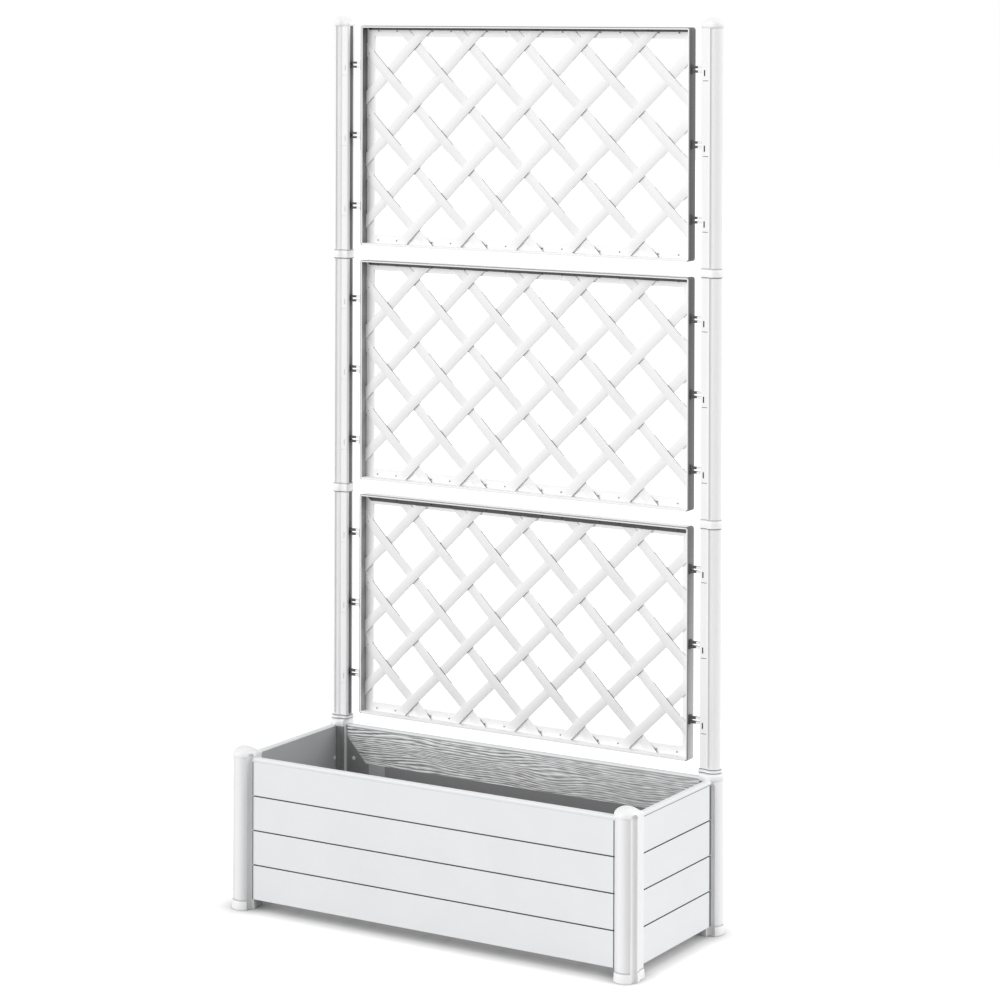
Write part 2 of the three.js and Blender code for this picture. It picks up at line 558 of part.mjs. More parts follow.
for (const [name, stand] of Object.entries(STANDS)) {
  add(`foot_${name}`, foot(stand));
  add(`corner_post_${name}`, cornerPost(stand));
}
for (const name of ['front_left', 'front_right']) {
  add(`post_cap_${name}`, frontCap(STANDS[name]));
}
for (const name of ['back_left', 'back_right']) add(`post_collar_${name}`, collar(STANDS[name]));

const HANDS = [['left', -1], ['right', 1]];
const ENDS = [['front', -1], ['back', 1]];
for (const [name, end] of ENDS) add(`wall_${name}`, longWall(end));
for (const [name, side] of HANDS) add(`wall_${name}`, sideWall(side));
for (const [long, end] of ENDS) {
  for (const [hand, side] of HANDS) {
    const x = side * (XC - joints(end).long.pin);
    const y = end * (YC - joints(end).side.pin);
    add(`wall_pin_${long}_${hand}`, wallPin((u, v, s) => [x + u, end * (LONG_INNER - s), PIN_Z + v]));
    add(`wall_pin_${hand}_${long}`, wallPin((u, v, s) => [side * (SIDE_INNER - s), y + u, PIN_Z + v]));
  }
}
add('floor_tray', floorTray(), INNER_RESIN);

const LEVELS = ['lower', 'middle', 'upper'];
for (const [hand, stand] of Object.entries(RAIL_STANDS)) {
  for (let tier = 0; tier < TIERS; tier += 1) add(`trellis_post_${hand}_${LEVELS[tier]}`, trellisPost(stand, tier));
  for (let k = 0; k + 1 < TIERS; k += 1) add(`post_coupling_${hand}_${LEVELS[k]}`, coupling(stand, k));
  add(`top_cap_${hand}`, domeCap(stand, TRELLIS_TOP, TOP_CAP, RAIL_BORE, 8));
}
const panel = trellisPanel();
for (let tier = 0; tier < TIERS; tier += 1) {
  const bottom = PANEL_BOTTOM + tier * TIER_PITCH;
  add(`trellis_panel_${LEVELS[tier]}`, panel.translate([0, 0, bottom + PANEL_H / 2]));
  for (const [hand, side] of HANDS) {
    clipHeights.forEach((h, i) => {
      add(`clip_${LEVELS[tier]}_${hand}_${i + 1}`, clip(side).translate([0, 0, bottom + h]));
    });
  }
}

export default planter;
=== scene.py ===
"""Planter with trellis: smooth moulded resin pieces and a woven lattice, with a plain studio.

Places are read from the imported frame. Lengths are metres in its own axes: +X to the right, +Y to the back,
+Z up, with the origin on the floor.
"""

from __future__ import annotations

import logging
import math
from collections.abc import Callable, Iterable, Sequence
from dataclasses import dataclass, field, replace
from enum import Enum

import bmesh
import bpy
from mathutils import Euler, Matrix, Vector, noise

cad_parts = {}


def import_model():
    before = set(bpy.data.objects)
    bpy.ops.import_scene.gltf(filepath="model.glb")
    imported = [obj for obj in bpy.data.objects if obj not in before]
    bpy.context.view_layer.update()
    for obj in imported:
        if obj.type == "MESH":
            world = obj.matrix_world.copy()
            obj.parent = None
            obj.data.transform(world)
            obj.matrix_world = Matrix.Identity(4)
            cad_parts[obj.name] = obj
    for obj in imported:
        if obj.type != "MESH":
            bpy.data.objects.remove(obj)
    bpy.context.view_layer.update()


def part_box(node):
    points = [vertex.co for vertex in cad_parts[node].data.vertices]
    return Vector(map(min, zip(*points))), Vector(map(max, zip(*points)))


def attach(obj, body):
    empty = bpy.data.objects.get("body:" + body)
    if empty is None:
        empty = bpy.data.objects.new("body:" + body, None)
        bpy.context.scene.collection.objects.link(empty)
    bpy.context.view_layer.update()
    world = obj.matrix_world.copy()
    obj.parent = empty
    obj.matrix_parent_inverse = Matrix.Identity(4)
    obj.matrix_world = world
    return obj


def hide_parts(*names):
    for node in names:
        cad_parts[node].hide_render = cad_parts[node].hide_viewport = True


LOG = logging.getLogger("planter")
MM = 0.001
BODY = "root"
MATH = "ShaderNodeMath"

# Attributes that the pieces carry: how much painted shade a face has, and the depth of the wood grain.
SHADE = "shade"
GRAIN = "grain"

# Sizes that many pieces share.
EASE = 0.6 * MM  # rounding at the ends of a moulded piece
JOINT = 0.3 * MM  # open line between two stacked pieces
CRISP = 30.0  # angle in degrees past which the edges of a post stay sharp
OVERCUT = 1 * MM  # how far a cutter reaches past what it cuts
FACETS = 48  # facets of a full round

Point = tuple[float, float, float]
Pair = tuple[float, float]


class Side(Enum):
    """Left or right half of the planter, with the sign of its X."""

    LEFT = -1
    RIGHT = 1

    @property
    def word(self) -> str:
        """The side's name in node names."""
        return self.name.lower()


class End(Enum):
    """Front or back of the planter, with the sign of its Y."""

    FRONT = -1
    BACK = 1

    @property
    def word(self) -> str:
        """The end's name in node names."""
        return self.name.lower()


class Tier(Enum):
    """The three tiers of the trellis, from the trough up."""

    LOWER = 0
    MIDDLE = 1
    UPPER = 2

    @property
    def word(self) -> str:
        """The tier's name in node names."""
        return self.name.lower()


# ---- small helpers -------------------------------------------------------------------------------


def linear(code: str) -> tuple[float, float, float, float]:
    """Turn an sRGB hex colour into linear RGBA.

    Args:
        code: The colour, such as "#f2f3f4".

    Returns:
        Linear red, green, blue and an alpha of 1.
    """
    channels = [int(code[i : i + 2], 16) / 255 for i in (1, 3, 5)]
    r, g, b = (c / 12.92 if c <= 0.04045 else ((c + 0.055) / 1.055) ** 2.4 for c in channels)
    return (r, g, b, 1.0)


def add_node(tree: bpy.types.NodeTree, kind: str, inputs: dict | None = None, **settings) -> bpy.types.Node:
    """Add a node with its settings, values and incoming links.

    Args:
        tree: The node tree that gets the node.
        kind: The node's type, such as "ShaderNodeTexNoise".
        inputs: Input name or index to a value, or to the output socket that feeds it.
        **settings: Properties of the node itself.

    Returns:
        The new node.
    """
    made = tree.nodes.new(kind)
    for name, value in settings.items():
        setattr(made, name, value)
    for key, value in (inputs or {}).items():
        if isinstance(value, bpy.types.NodeSocket):
            tree.links.new(value, made.inputs[key])
        else:
            made.inputs[key].default_value = value
    return made


def set_ramp(ramp: bpy.types.Node, stops: Sequence[tuple[float, str]]) -> None:
    """Give a colour ramp its stops.

    Args:
        ramp: The Color Ramp node.
        stops: Position and sRGB hex colour of each stop, in order.
    """
    elements = ramp.color_ramp.elements
    while len(elements) < len(stops):
        elements.new(1.0)
    for element, (position, code) in zip(elements, stops):
        element.position = position
        element.color = linear(code)


def link_object(name: str, mesh: bpy.types.Mesh) -> bpy.types.Object:
    """Put a mesh into the scene as an object at the origin.

    Args:
        name: The object's name.
        mesh: Its mesh, already in place.

    Returns:
        The object.
    """
    made = bpy.data.objects.new(name, mesh)
    bpy.context.scene.collection.objects.link(made)
    return made


def settle(work: bmesh.types.BMesh, name: str, sharp: float = 32.0) -> bpy.types.Object:
    """Turn a bmesh into an object with outward faces, smooth except at its sharp edges.

    Args:
        work: The bmesh, which is freed.
        name: The object's name.
        sharp: Angle in degrees past which an edge stays sharp.

    Returns:
        The object.
    """
    bmesh.ops.remove_doubles(work, verts=work.verts, dist=1e-6)
    bmesh.ops.recalc_face_normals(work, faces=work.faces)
    for face in work.faces:
        face.smooth = True
    mesh = bpy.data.meshes.new(name)
    work.to_mesh(mesh)
    work.free()
    mesh.set_sharp_from_angle(angle=math.radians(sharp))
    return link_object(name, mesh)


def add_rings(
    work: bmesh.types.BMesh,
    rings: Sequence[Sequence[Point]],
    shade: Callable[[int, int], float] | None = None,
    closed: bool = False,
) -> None:
    """Skin rings of equal point counts; ends are capped unless the last ring joins the first.

    Args:
        work: The bmesh that gets the skin.
        rings: The rings, each a closed loop of points.
        shade: Gives the painted shade of the face between two rings, from ring and point index.
        closed: Whether the last ring joins the first, so that the skin closes on itself.
    """
    layer = work.faces.layers.float.get(SHADE) or work.faces.layers.float.new(SHADE)
    verts = [[work.verts.new(point) for point in ring] for ring in rings]
    count = len(rings[0])
    last = len(rings) if closed else len(rings) - 1
    for k in range(last):
        low, high = verts[k], verts[(k + 1) % len(rings)]
        for i in range(count):
            j = (i + 1) % count
            face = work.faces.new((low[i], low[j], high[j], high[i]))
            face[layer] = shade(k, i) if shade else 0.0
    if not closed:
        work.faces.new(verts[0])
        work.faces.new(verts[-1])


def held(value: float, low: float = 0.0, high: float = 1.0) -> float:
    """Keep a value between two others."""
    return min(max(value, low), high)


def cut_at(
    work: bmesh.types.BMesh, point: Point, normal: Point, trim: bool = False
) -> list[bmesh.types.BMEdge]:
    """Cut a bmesh along a plane.

    Args:
        work: The bmesh.
        point: A point of the plane.
        normal: Its direction.
        trim: Whether what lies on the side of the normal goes.

    Returns:
        The edges of the cut.
    """
    everything = [*work.verts, *work.edges, *work.faces]
    cut = bmesh.ops.bisect_plane(work, geom=everything, plane_co=point, plane_no=normal, clear_outer=trim)
    return [part for part in cut["geom_cut"] if isinstance(part, bmesh.types.BMEdge)]


def apply_modifiers(piece: bpy.types.Object) -> None:
    """Replace an object's mesh by its evaluated one and drop its modifiers.

    Args:
        piece: The object.
    """
    graph = bpy.context.evaluated_depsgraph_get()
    mesh = bpy.data.meshes.new_from_object(piece.evaluated_get(graph))
    piece.modifiers.clear()
    old = piece.data
    piece.data = mesh
    bpy.data.meshes.remove(old)


def round_edges(piece: bpy.types.Object, width: float, angle: float = 32.0) -> None:
    """Round the sharp edges of a piece.

    Args:
        piece: The object.
        width: Width of the rounding.
        angle: Angle in degrees past which an edge is rounded.
    """
    bevel = piece.modifiers.new("rounded", "BEVEL")
    bevel.width = width
    bevel.segments = 2
    bevel.limit_method = "ANGLE"
    bevel.angle_limit = math.radians(angle)
    apply_modifiers(piece)
    piece.data.set_sharp_from_angle(angle=math.radians(angle))


def dress(piece: bpy.types.Object, material: bpy.types.Material, slot: str, *nodes: str) -> None:
    """Give a piece its finish, tie it to the frame and report it.

    Args:
        piece: The object.
        material: Its finish.
        slot: Name of a material slot; not used.
        *nodes: CAD nodes that it stands for.
    """
    piece.data.materials.clear()
    piece.data.materials.append(material)
    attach(piece, BODY)
    if nodes:
        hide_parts(*nodes)
    stands_for = ", ".join(nodes) or "no node"
    LOG.info("piece %s: %d faces, for %s", piece.name, len(piece.data.polygons), stands_for)


def copy_of_node(node: str, name: str) -> bpy.types.Object:
    """Copy a CAD node's mesh into a piece of its own, its loose triangles merged into whole faces.

    Args:
        node: The CAD node.
        name: The new object's name.

    Returns:
        The new object.
    """
    work = bmesh.new()
    work.from_mesh(bpy.data.objects[node].data)
    bmesh.ops.remove_doubles(work, verts=work.verts, dist=2e-6)
    bmesh.ops.dissolve_limit(work, angle_limit=math.radians(1.5), verts=work.verts, edges=work.edges)
    return settle(work, name)


# ---- finishes ------------------------------------------------------------------------------------


@dataclass(frozen=True)
class Resin:
    """Injection-moulded polypropylene: a finely blasted mould gives it a satin skin with soft highlights.

    Attributes:
        name: The material's name.
        colour: Its sRGB colour.
        dark: sRGB colour of the painted shade, where the piece's shade attribute is 1.
        roughness: Satin by default.
        pebble: Size of the pebbled skin in millimetres.
        bump: Height of the pebbles against their size.
        clouds: Distance between the cloudy patches in millimetres.
        ior: That of polypropylene.
    """

    name: str
    colour: str
    dark: str = "#5a5b5c"
    roughness: float = 0.42
    pebble: float = 1.6
    bump: float = 0.05
    clouds: float = 111.0
    ior: float = 1.49

    def base(self, tree: bpy.types.NodeTree, place: bpy.types.NodeSocket) -> bpy.types.NodeSocket:
        """Colour of the clean resin: a broad, faint clouding from the flow of the melt.

        Args:
            tree: The material's tree.
            place: Object coordinates.

        Returns:
            The colour output.
        """
        scale = 1.0 / (self.clouds * MM)
        cloud = add_node(tree, "ShaderNodeTexNoise", {"Vector": place, "Scale": scale, "Detail": 3.0})
        mix = add_node(
            tree,
            "ShaderNodeMix",
            {"Factor": cloud.outputs["Fac"], "A": linear(self.colour), "B": linear(self.faded)},
            data_type="RGBA",
        )
        return mix.outputs["Result"]

    @property
    def faded(self) -> str:
        """The colour a few steps darker, for the clouding."""
        steps = 7
        return "#" + "".join(f"{max(int(self.colour[i : i + 2], 16) - steps, 0):02x}" for i in (1, 3, 5))

    def relief(self, tree: bpy.types.NodeTree, place: bpy.types.NodeSocket) -> bpy.types.NodeSocket:
        """Pebbled skin as a height, which breaks the highlights up.

        The real pebbles are finer, and these are as coarse as it takes to show in a picture.

        Args:
            tree: The material's tree.
            place: Object coordinates.

        Returns:
            The height output.
        """
        scale = 1.0 / (self.pebble * MM * 2)
        pebbles = add_node(tree, "ShaderNodeTexNoise", {"Vector": place, "Scale": scale, "Detail": 1.0})
        return pebbles.outputs["Fac"]

    def make(self) -> bpy.types.Material:
        """Build the material.

        Returns:
            The material.
        """
        material = bpy.data.materials.new(self.name)
        material.use_nodes = True
        tree = material.node_tree
        tree.nodes.clear()
        place = add_node(tree, "ShaderNodeTexCoord").outputs["Object"]
        # Painted shade: the colour goes towards the dark one as the shade attribute rises.
        shade = add_node(tree, "ShaderNodeAttribute", attribute_name=SHADE).outputs["Fac"]
        colour = add_node(
            tree,
            "ShaderNodeMix",
            {"Factor": shade, "A": self.base(tree, place), "B": linear(self.dark)},
            data_type="RGBA",
        )
        bump = add_node(
            tree,
            "ShaderNodeBump",
            {"Height": self.relief(tree, place), "Distance": self.pebble * MM, "Strength": self.bump},
        )
        skin = add_node(
            tree,
            "ShaderNodeBsdfPrincipled",
            {
                "Base Color": colour.outputs["Result"],
                "Normal": bump.outputs["Normal"],
                "Roughness": self.roughness,
                "IOR": self.ior,
            },
        )
        add_node(tree, "ShaderNodeOutputMaterial", {"Surface": skin.outputs["BSDF"]})
        return material


@dataclass(frozen=True)
class BoardResin(Resin):
    """Resin boards with a faint wood grain moulded along them, which draws the highlights out lengthwise.

    Attributes:
        along_y: Whether the boards run along Y instead of X.
        grain: Width of a grain line in millimetres.
        stretch: How many times longer than wide a grain line is.
    """

    along_y: bool = False
    grain: float = 3.0
    stretch: float = 22.0

    def relief(self, tree: bpy.types.NodeTree, place: bpy.types.NodeSocket) -> bpy.types.NodeSocket:
        """Grain lines along the boards instead of pebbles.

        Args:
            tree: The material's tree.
            place: Object coordinates.

        Returns:
            The height output.
        """
        short = 1.0 / self.stretch
        along = (1.0, short, 1.0) if self.along_y else (short, 1.0, 1.0)
        drawn_out = add_node(tree, "ShaderNodeMapping", {"Vector": place, "Scale": along}).outputs["Vector"]
        scale = 1.0 / (self.grain * MM * 2)
        lines = add_node(
            tree,
            "ShaderNodeTexNoise",
            {"Vector": drawn_out, "Scale": scale, "Detail": 2.0, "Distortion": 0.4},
        )
        return lines.outputs["Fac"]


@dataclass(frozen=True)
class GrainedResin(Resin):
    """Resin deeply embossed with wood grain, coloured by the grain's depth: painted shade in the furrows,
    painted highlight on the ridges.

    Attributes:
        furrow: sRGB colour of the furrows, a painted shade.
        flat: sRGB colour between them.
        ridge: sRGB colour of the ridges, a painted highlight.
    """

    furrow: str = "#7b7c7e"
    flat: str = "#c6c6c7"
    ridge: str = "#fbfbfb"

    def base(self, tree: bpy.types.NodeTree, place: bpy.types.NodeSocket) -> bpy.types.NodeSocket:
        """Painted shade and highlight from the depth of the grain, which each vertex carries.

        Args:
            tree: The material's tree.
            place: Object coordinates, which this finish doesn't need.

        Returns:
            The colour output.
        """
        depth = add_node(tree, "ShaderNodeAttribute", attribute_name=GRAIN).outputs["Fac"]
        ramp = add_node(tree, "ShaderNodeValToRGB", {"Fac": depth})
        set_ramp(ramp, [(0.08, self.furrow), (0.5, self.flat), (0.92, self.ridge)])
        return ramp.outputs["Color"]


class Finishes:
    """Every material of the planter, made once. All are moulded polypropylene."""

    def __init__(self) -> None:
        """Make the materials."""
        # Satin white, so that the rounds of the posts show as soft, even shading.
        # Its dark colour is painted shade in flutes, channels, marks, band lines, and on the back posts
        # inside the trough.
        self.post = Resin("satin_white_polypropylene", "#f7f7f8", dark="#4a4b4c").make()
        # A shade greyer than the posts, so the boards sit back behind them; their grain runs along X or Y.
        # Their dark colour is painted shade in the seams, the rim groove, where they meet posts and on inner
        # faces.
        self.long_wall = BoardResin("boarded_white_polypropylene_long", "#eef0f1").make()
        self.side_wall = BoardResin("boarded_white_polypropylene_side", "#eef0f1", along_y=True).make()
        # Light grey, with painted shade in the embossing's furrows and a painted highlight on its ridges.
        # Its dark colour is a painted shadow of the front and left walls on the back wall's inner face.
        self.grained = GrainedResin("embossed_wood_grain_polypropylene", "#d0d0d0", dark="#858586").make()
        # The slats are a little duller than the frame, so that the frame stands out before them.
        # Their dark colours are painted shade: on slat edges over crossings, and on the frame's walls and lip
        # edge.
        self.lattice = Resin("lattice_white_polypropylene", "#f3f3f3", dark="#4c4d4e").make()
        self.frame = Resin("frame_white_polypropylene", "#fafafa", dark="#434445").make()
        # Rather matt, so that a clip reads as a white stretch and one of painted shade, without highlights.
        self.clip = Resin("clip_two_tone_polypropylene", "#f4f4f5", dark="#38393a", roughness=0.5).make()
        # Smooth mid grey: small, crisp dots along the borders.
        self.nail = Resin("nail_head_grey_polypropylene", "#6a6b6d", roughness=0.4).make()
        # Off-white, so that the pin heads show faintly against the walls.
        self.pin = Resin("pin_white_polypropylene", "#dcdcdd").make()
        # Plain matt grey, as parts are that soil will cover.
        self.tray = Resin("tray_grey_polypropylene", "#c4c4c5", roughness=0.6).make()


# ---- post sections -------------------------------------------------------------------------------


@dataclass(frozen=True)
class Flute:
    """Round groove down each side of a post.

    Attributes:
        at: Place of its centre along the body.
        out: Distance of its centre from the post's middle line.
        r: Its radius.
    """

    at: float
    out: float
    r: float


@dataclass(frozen=True)
class Section:
    """Plan of a post: a round front and a flat-sided body behind it.

    Attributes:
        r: Radius of the round front.
        half: Half the width of the body.
        reach: Length of the body from the centre of the round.
        flute: The grooves on its two sides.
    """

    r: float
    half: float
    reach: float
    flute: Flute

    def outline(self, grow: float = 0.0) -> list[Pair]:
        """Closed outline in the post's own directions, u along the body and v across.

        Args:
            grow: How far the outline stands out beyond the section.

        Returns:
            The outline's points, always as many.
        """
        radius, half, reach = self.r + grow, self.half + grow, self.reach + grow
        corner = min(BODY_CORNER + grow, half - BODY_FLAT)
        start = math.atan2(half, math.sqrt(max(radius**2 - half**2, 0.0)))
        angles = [start + (2 * math.pi - 2 * start) * i / FACETS for i in range(FACETS + 1)]
        points = [(radius * math.cos(a), radius * math.sin(a)) for a in angles]
        for centre, begin in ((corner - half, -math.pi / 2), (half - corner, 0.0)):
            for a in eighths(0, 8):
                turn = begin + a
                points.append((reach - corner + corner * math.cos(turn), centre + corner * math.sin(turn)))
        return points


@dataclass(frozen=True)
class Stand:
    """Where a post stands and which way its body points.

    Attributes:
        x: X of the round front's centre.
        y: Y of it.
        ux: X part of the body's direction.
        uy: Y part of it.
    """

    x: float
    y: float
    ux: float
    uy: float

    def at(self, u: float, v: float, z: float) -> Point:
        """Turn the post's own directions into the frame's."""
        return (self.x + u * self.ux - v * self.uy, self.y + u * self.uy + v * self.ux, z)

    def ring(self, outline: Iterable[Pair], z: float) -> list[Point]:
        """Lay an outline at a height."""
        return [self.at(u, v, z) for u, v in outline]


CLIP_ROWS = (1, 2, 3)  # clips on each side of a panel, as their nodes count them
BODY_CORNER = 4 * MM  # radius of the corners at the end of a post's body
BODY_FLAT = 1 * MM  # least that stays flat there, on each side of the middle line
CORNER_FLUTE = Flute(-11.6 * MM, 26.8 * MM, 10.1 * MM)
CORNER = {
    End.FRONT: Section(25 * MM, 21.5 * MM, 35 * MM, CORNER_FLUTE),
    End.BACK: Section(25 * MM, 21.5 * MM, 21 * MM, CORNER_FLUTE),
}
RAIL = Section(16.4 * MM, 12.9 * MM, 27 * MM, Flute(0.0, 18.2 * MM, 5.4 * MM))
RAIL_EDGE = 15.4 * MM  # from the round's centre to the outer edge of the CAD post


def stand_for(side: Side, end: End) -> Stand:
    """Stand of a corner post, read from the frame.

    Args:
        side: Left or right.
        end: Front or back.

    Returns:
        The stand; front posts point their body to the back, back posts inward.
    """
    low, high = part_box(f"corner_post_{end.word}_{side.word}")
    edge_x = low.x if side is Side.LEFT else high.x
    edge_y = low.y if end is End.FRONT else high.y
    x = edge_x - side.value * CORNER[end].r
    y = edge_y - end.value * CORNER[end].r
    return Stand(x, y, 0.0, 1.0) if end is End.FRONT else Stand(x, y, -side.value, 0.0)


def rail_stand(side: Side) -> Stand:
    """Stand of the trellis posts on one side, read from the frame.

    Args:
        side: Left or right.

    Returns:
        The stand, its body pointing inward.
    """
    low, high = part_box(f"trellis_post_{side.word}_middle")
    edge = low.x if side is Side.LEFT else high.x
    return Stand(edge - side.value * RAIL_EDGE, (low.y + high.y) / 2, -side.value, 0.0)


def eighths(first: int, last: int) -> list[float]:
    """Angles from 0 to a right angle in eight steps, from the first to the last of them."""
    return [math.pi / 2 * k / 8 for k in range(first, last + 1)]


def prism(
    name: str,
    stand: Stand,
    section: Section,
    z0: float,
    z1: float,
    shade: Callable[[float, float], float] | None = None,
) -> bpy.types.Object:
    """Post of one section with slightly rounded ends.

    Args:
        name: The object's name.
        stand: Where it stands.
        section: Its section.
        z0: Bottom.
        z1: Top.
        shade: Gives the painted shade of its skin at a place of its outline.

    Returns:
        The object.
    """
    levels = [(z0, -EASE), (z0 + EASE, 0.0), (z1 - EASE, 0.0), (z1, -EASE)]
    plain = section.outline()
    middles = [((a[0] + b[0]) / 2, (a[1] + b[1]) / 2) for a, b in zip(plain, [*plain[1:], plain[0]])]
    work = bmesh.new()
    rings = [stand.ring(section.outline(grow=grow), z) for z, grow in levels]
    add_rings(work, rings, (lambda k, i: shade(*middles[i])) if shade else None)
    return settle(work, name, sharp=CRISP)


def add_flutes(
    work: bmesh.types.BMesh,
    stand: Stand,
    flute: Flute,
    z0: float,
    z1: float,
    painted_shade: float,
    arched_foot: bool = False,
) -> None:
    """Add the cutters for both flutes of a post, closing in an arch above a height.

    Args:
        work: The bmesh that gets them.
        stand: Where the post stands.
        flute: The flutes.
        z0: Where they start.
        z1: Height of the arch's centre.
        painted_shade: Painted shade of the skin that they leave.
        arched_foot: Whether an arch closes them at the start too.
    """
    arch = [(flute.r * math.sin(a), math.cos(a)) for a in eighths(0, 7)]
    start = [(z0 - rise, share) for rise, share in reversed(arch)] if arched_foot else [(z0, 1.0)]
    levels = start + [(z1 + rise, share) for rise, share in arch]
    turns = [2 * math.pi * i / FACETS for i in range(FACETS)]
    for v in (-flute.out, flute.out):
        rings = []
        for z, share in levels:
            r = flute.r * share
            rings.append(stand.ring([(flute.at + r * math.cos(a), v + r * math.sin(a)) for a in turns], z))
        add_rings(work, rings, lambda k, i: painted_shade)


def carve(piece: bpy.types.Object, work: bmesh.types.BMesh) -> None:
    """Cut closed bodies out of a piece.

    Args:
        piece: The piece.
        work: The bodies, in a bmesh that is freed.
    """
    cutter = settle(work, f"{piece.name}_cutter")
    trim = piece.modifiers.new("carved", "BOOLEAN")
    trim.object = cutter
    trim.operation = "DIFFERENCE"
    trim.solver = "EXACT"
    apply_modifiers(piece)
    piece.data.set_sharp_from_angle(angle=math.radians(CRISP))
    bpy.data.objects.remove(cutter)


@dataclass(frozen=True)
class Dome:
    """Rounded cap: an upright skirt and a dome, whose crest above the round front falls off to the body.

    Attributes:
        skirt: Height of the upright part.
        crest: Place of the highest point along the body.
        lip: How far the skirt stands out beyond the post.
        fall: Share of the dome's height that is lost towards the end of the body.
        swell: How full the dome is, as the power of its sine; 1 is a plain round.
        steps: Rings of the dome.
        flat: Share of a ring that stays open at the crest and is capped flat.
    """

    skirt: float
    crest: float
    lip: float = 1.5 * MM
    fall: float = 0.7
    swell: float = 0.9
    steps: int = 16
    flat: float = 0.3

    def build(self, name: str, stand: Stand, section: Section, z0: float, z1: float) -> bpy.types.Object:
        """Make the cap.

        Args:
            name: The object's name.
            stand: Where it stands.
            section: Section of the post below.
            z0: Bottom of the skirt.
            z1: Top of the dome.

        Returns:
            The object.
        """
        outer = section.outline(grow=self.lip)
        rings = [stand.ring(section.outline(grow=self.lip - EASE), z0), stand.ring(outer, z0 + EASE)]
        rings.append(stand.ring(outer, z0 + self.skirt))
        end = section.reach + self.lip
        for k in range(1, self.steps + 1):
            a = math.pi / 2 * k / (self.steps + self.flat)
            shrink, lift = math.cos(a), (z1 - z0 - self.skirt) * math.sin(a) ** self.swell
            ring = []
            for u, v in outer:
                along = self.crest + (u - self.crest) * shrink
                t = held((along - self.crest) / (end - self.crest))
                drop = self.fall * t * t * (3 - 2 * t)
                ring.append(stand.at(along, v * shrink, z0 + self.skirt + lift * (1 - drop)))
            rings.append(ring)
        work = bmesh.new()
        add_rings(work, rings)
        return settle(work, name, sharp=50)


@dataclass(frozen=True)
class Band:
    """Moulded band round a post, as heights and how far it stands out there, all in millimetres.

    Attributes:
        foot: Height and overhang of its lower levels, counted from its lower end.
        head: The same for its upper levels, counted from its upper end.
        shades: Painted shade of the skin from each level to the next.
    """

    foot: tuple[Pair, ...]
    head: tuple[Pair, ...]
    shades: tuple[float, ...]

    def build(self, name: str, stand: Stand, section: Section, z0: float, z1: float) -> bpy.types.Object:
        """Make the band.

        Args:
            name: The object's name.
            stand: Where the post stands.
            section: Section of the post.
            z0: Lower end.
            z1: Upper end.

        Returns:
            The object.
        """
        levels = [(z0 + up * MM, out) for up, out in self.foot]
        levels += [(z1 + up * MM, out) for up, out in self.head]
        work = bmesh.new()
        rings = [stand.ring(section.outline(grow=out * MM), z) for z, out in levels]
        add_rings(work, rings, lambda k, i: self.shades[k])
        return settle(work, name, sharp=45)


# ---- trough --------------------------------------------------------------------------------------


@dataclass(frozen=True)
class WallLook:
    """Painted shade on a wall.

    Attributes:
        groove: Painted shade of the groove below the rim.
        end_line: Width of the line of painted shade where the wall meets a post.
    """

    groove: float
    end_line: float


@dataclass(frozen=True)
class WallPoint:
    """Point of a wall's cross-section, with the painted shade of the skin between it and the next one.

    Attributes:
        depth: Distance in from the wall's outer face.
        z: Height.
        shade: Painted shade of the skin.
        darkens: Whether that skin takes painted shade where it meets a post.
    """

    depth: float
    z: float
    shade: float = 0.0
    darkens: bool = False


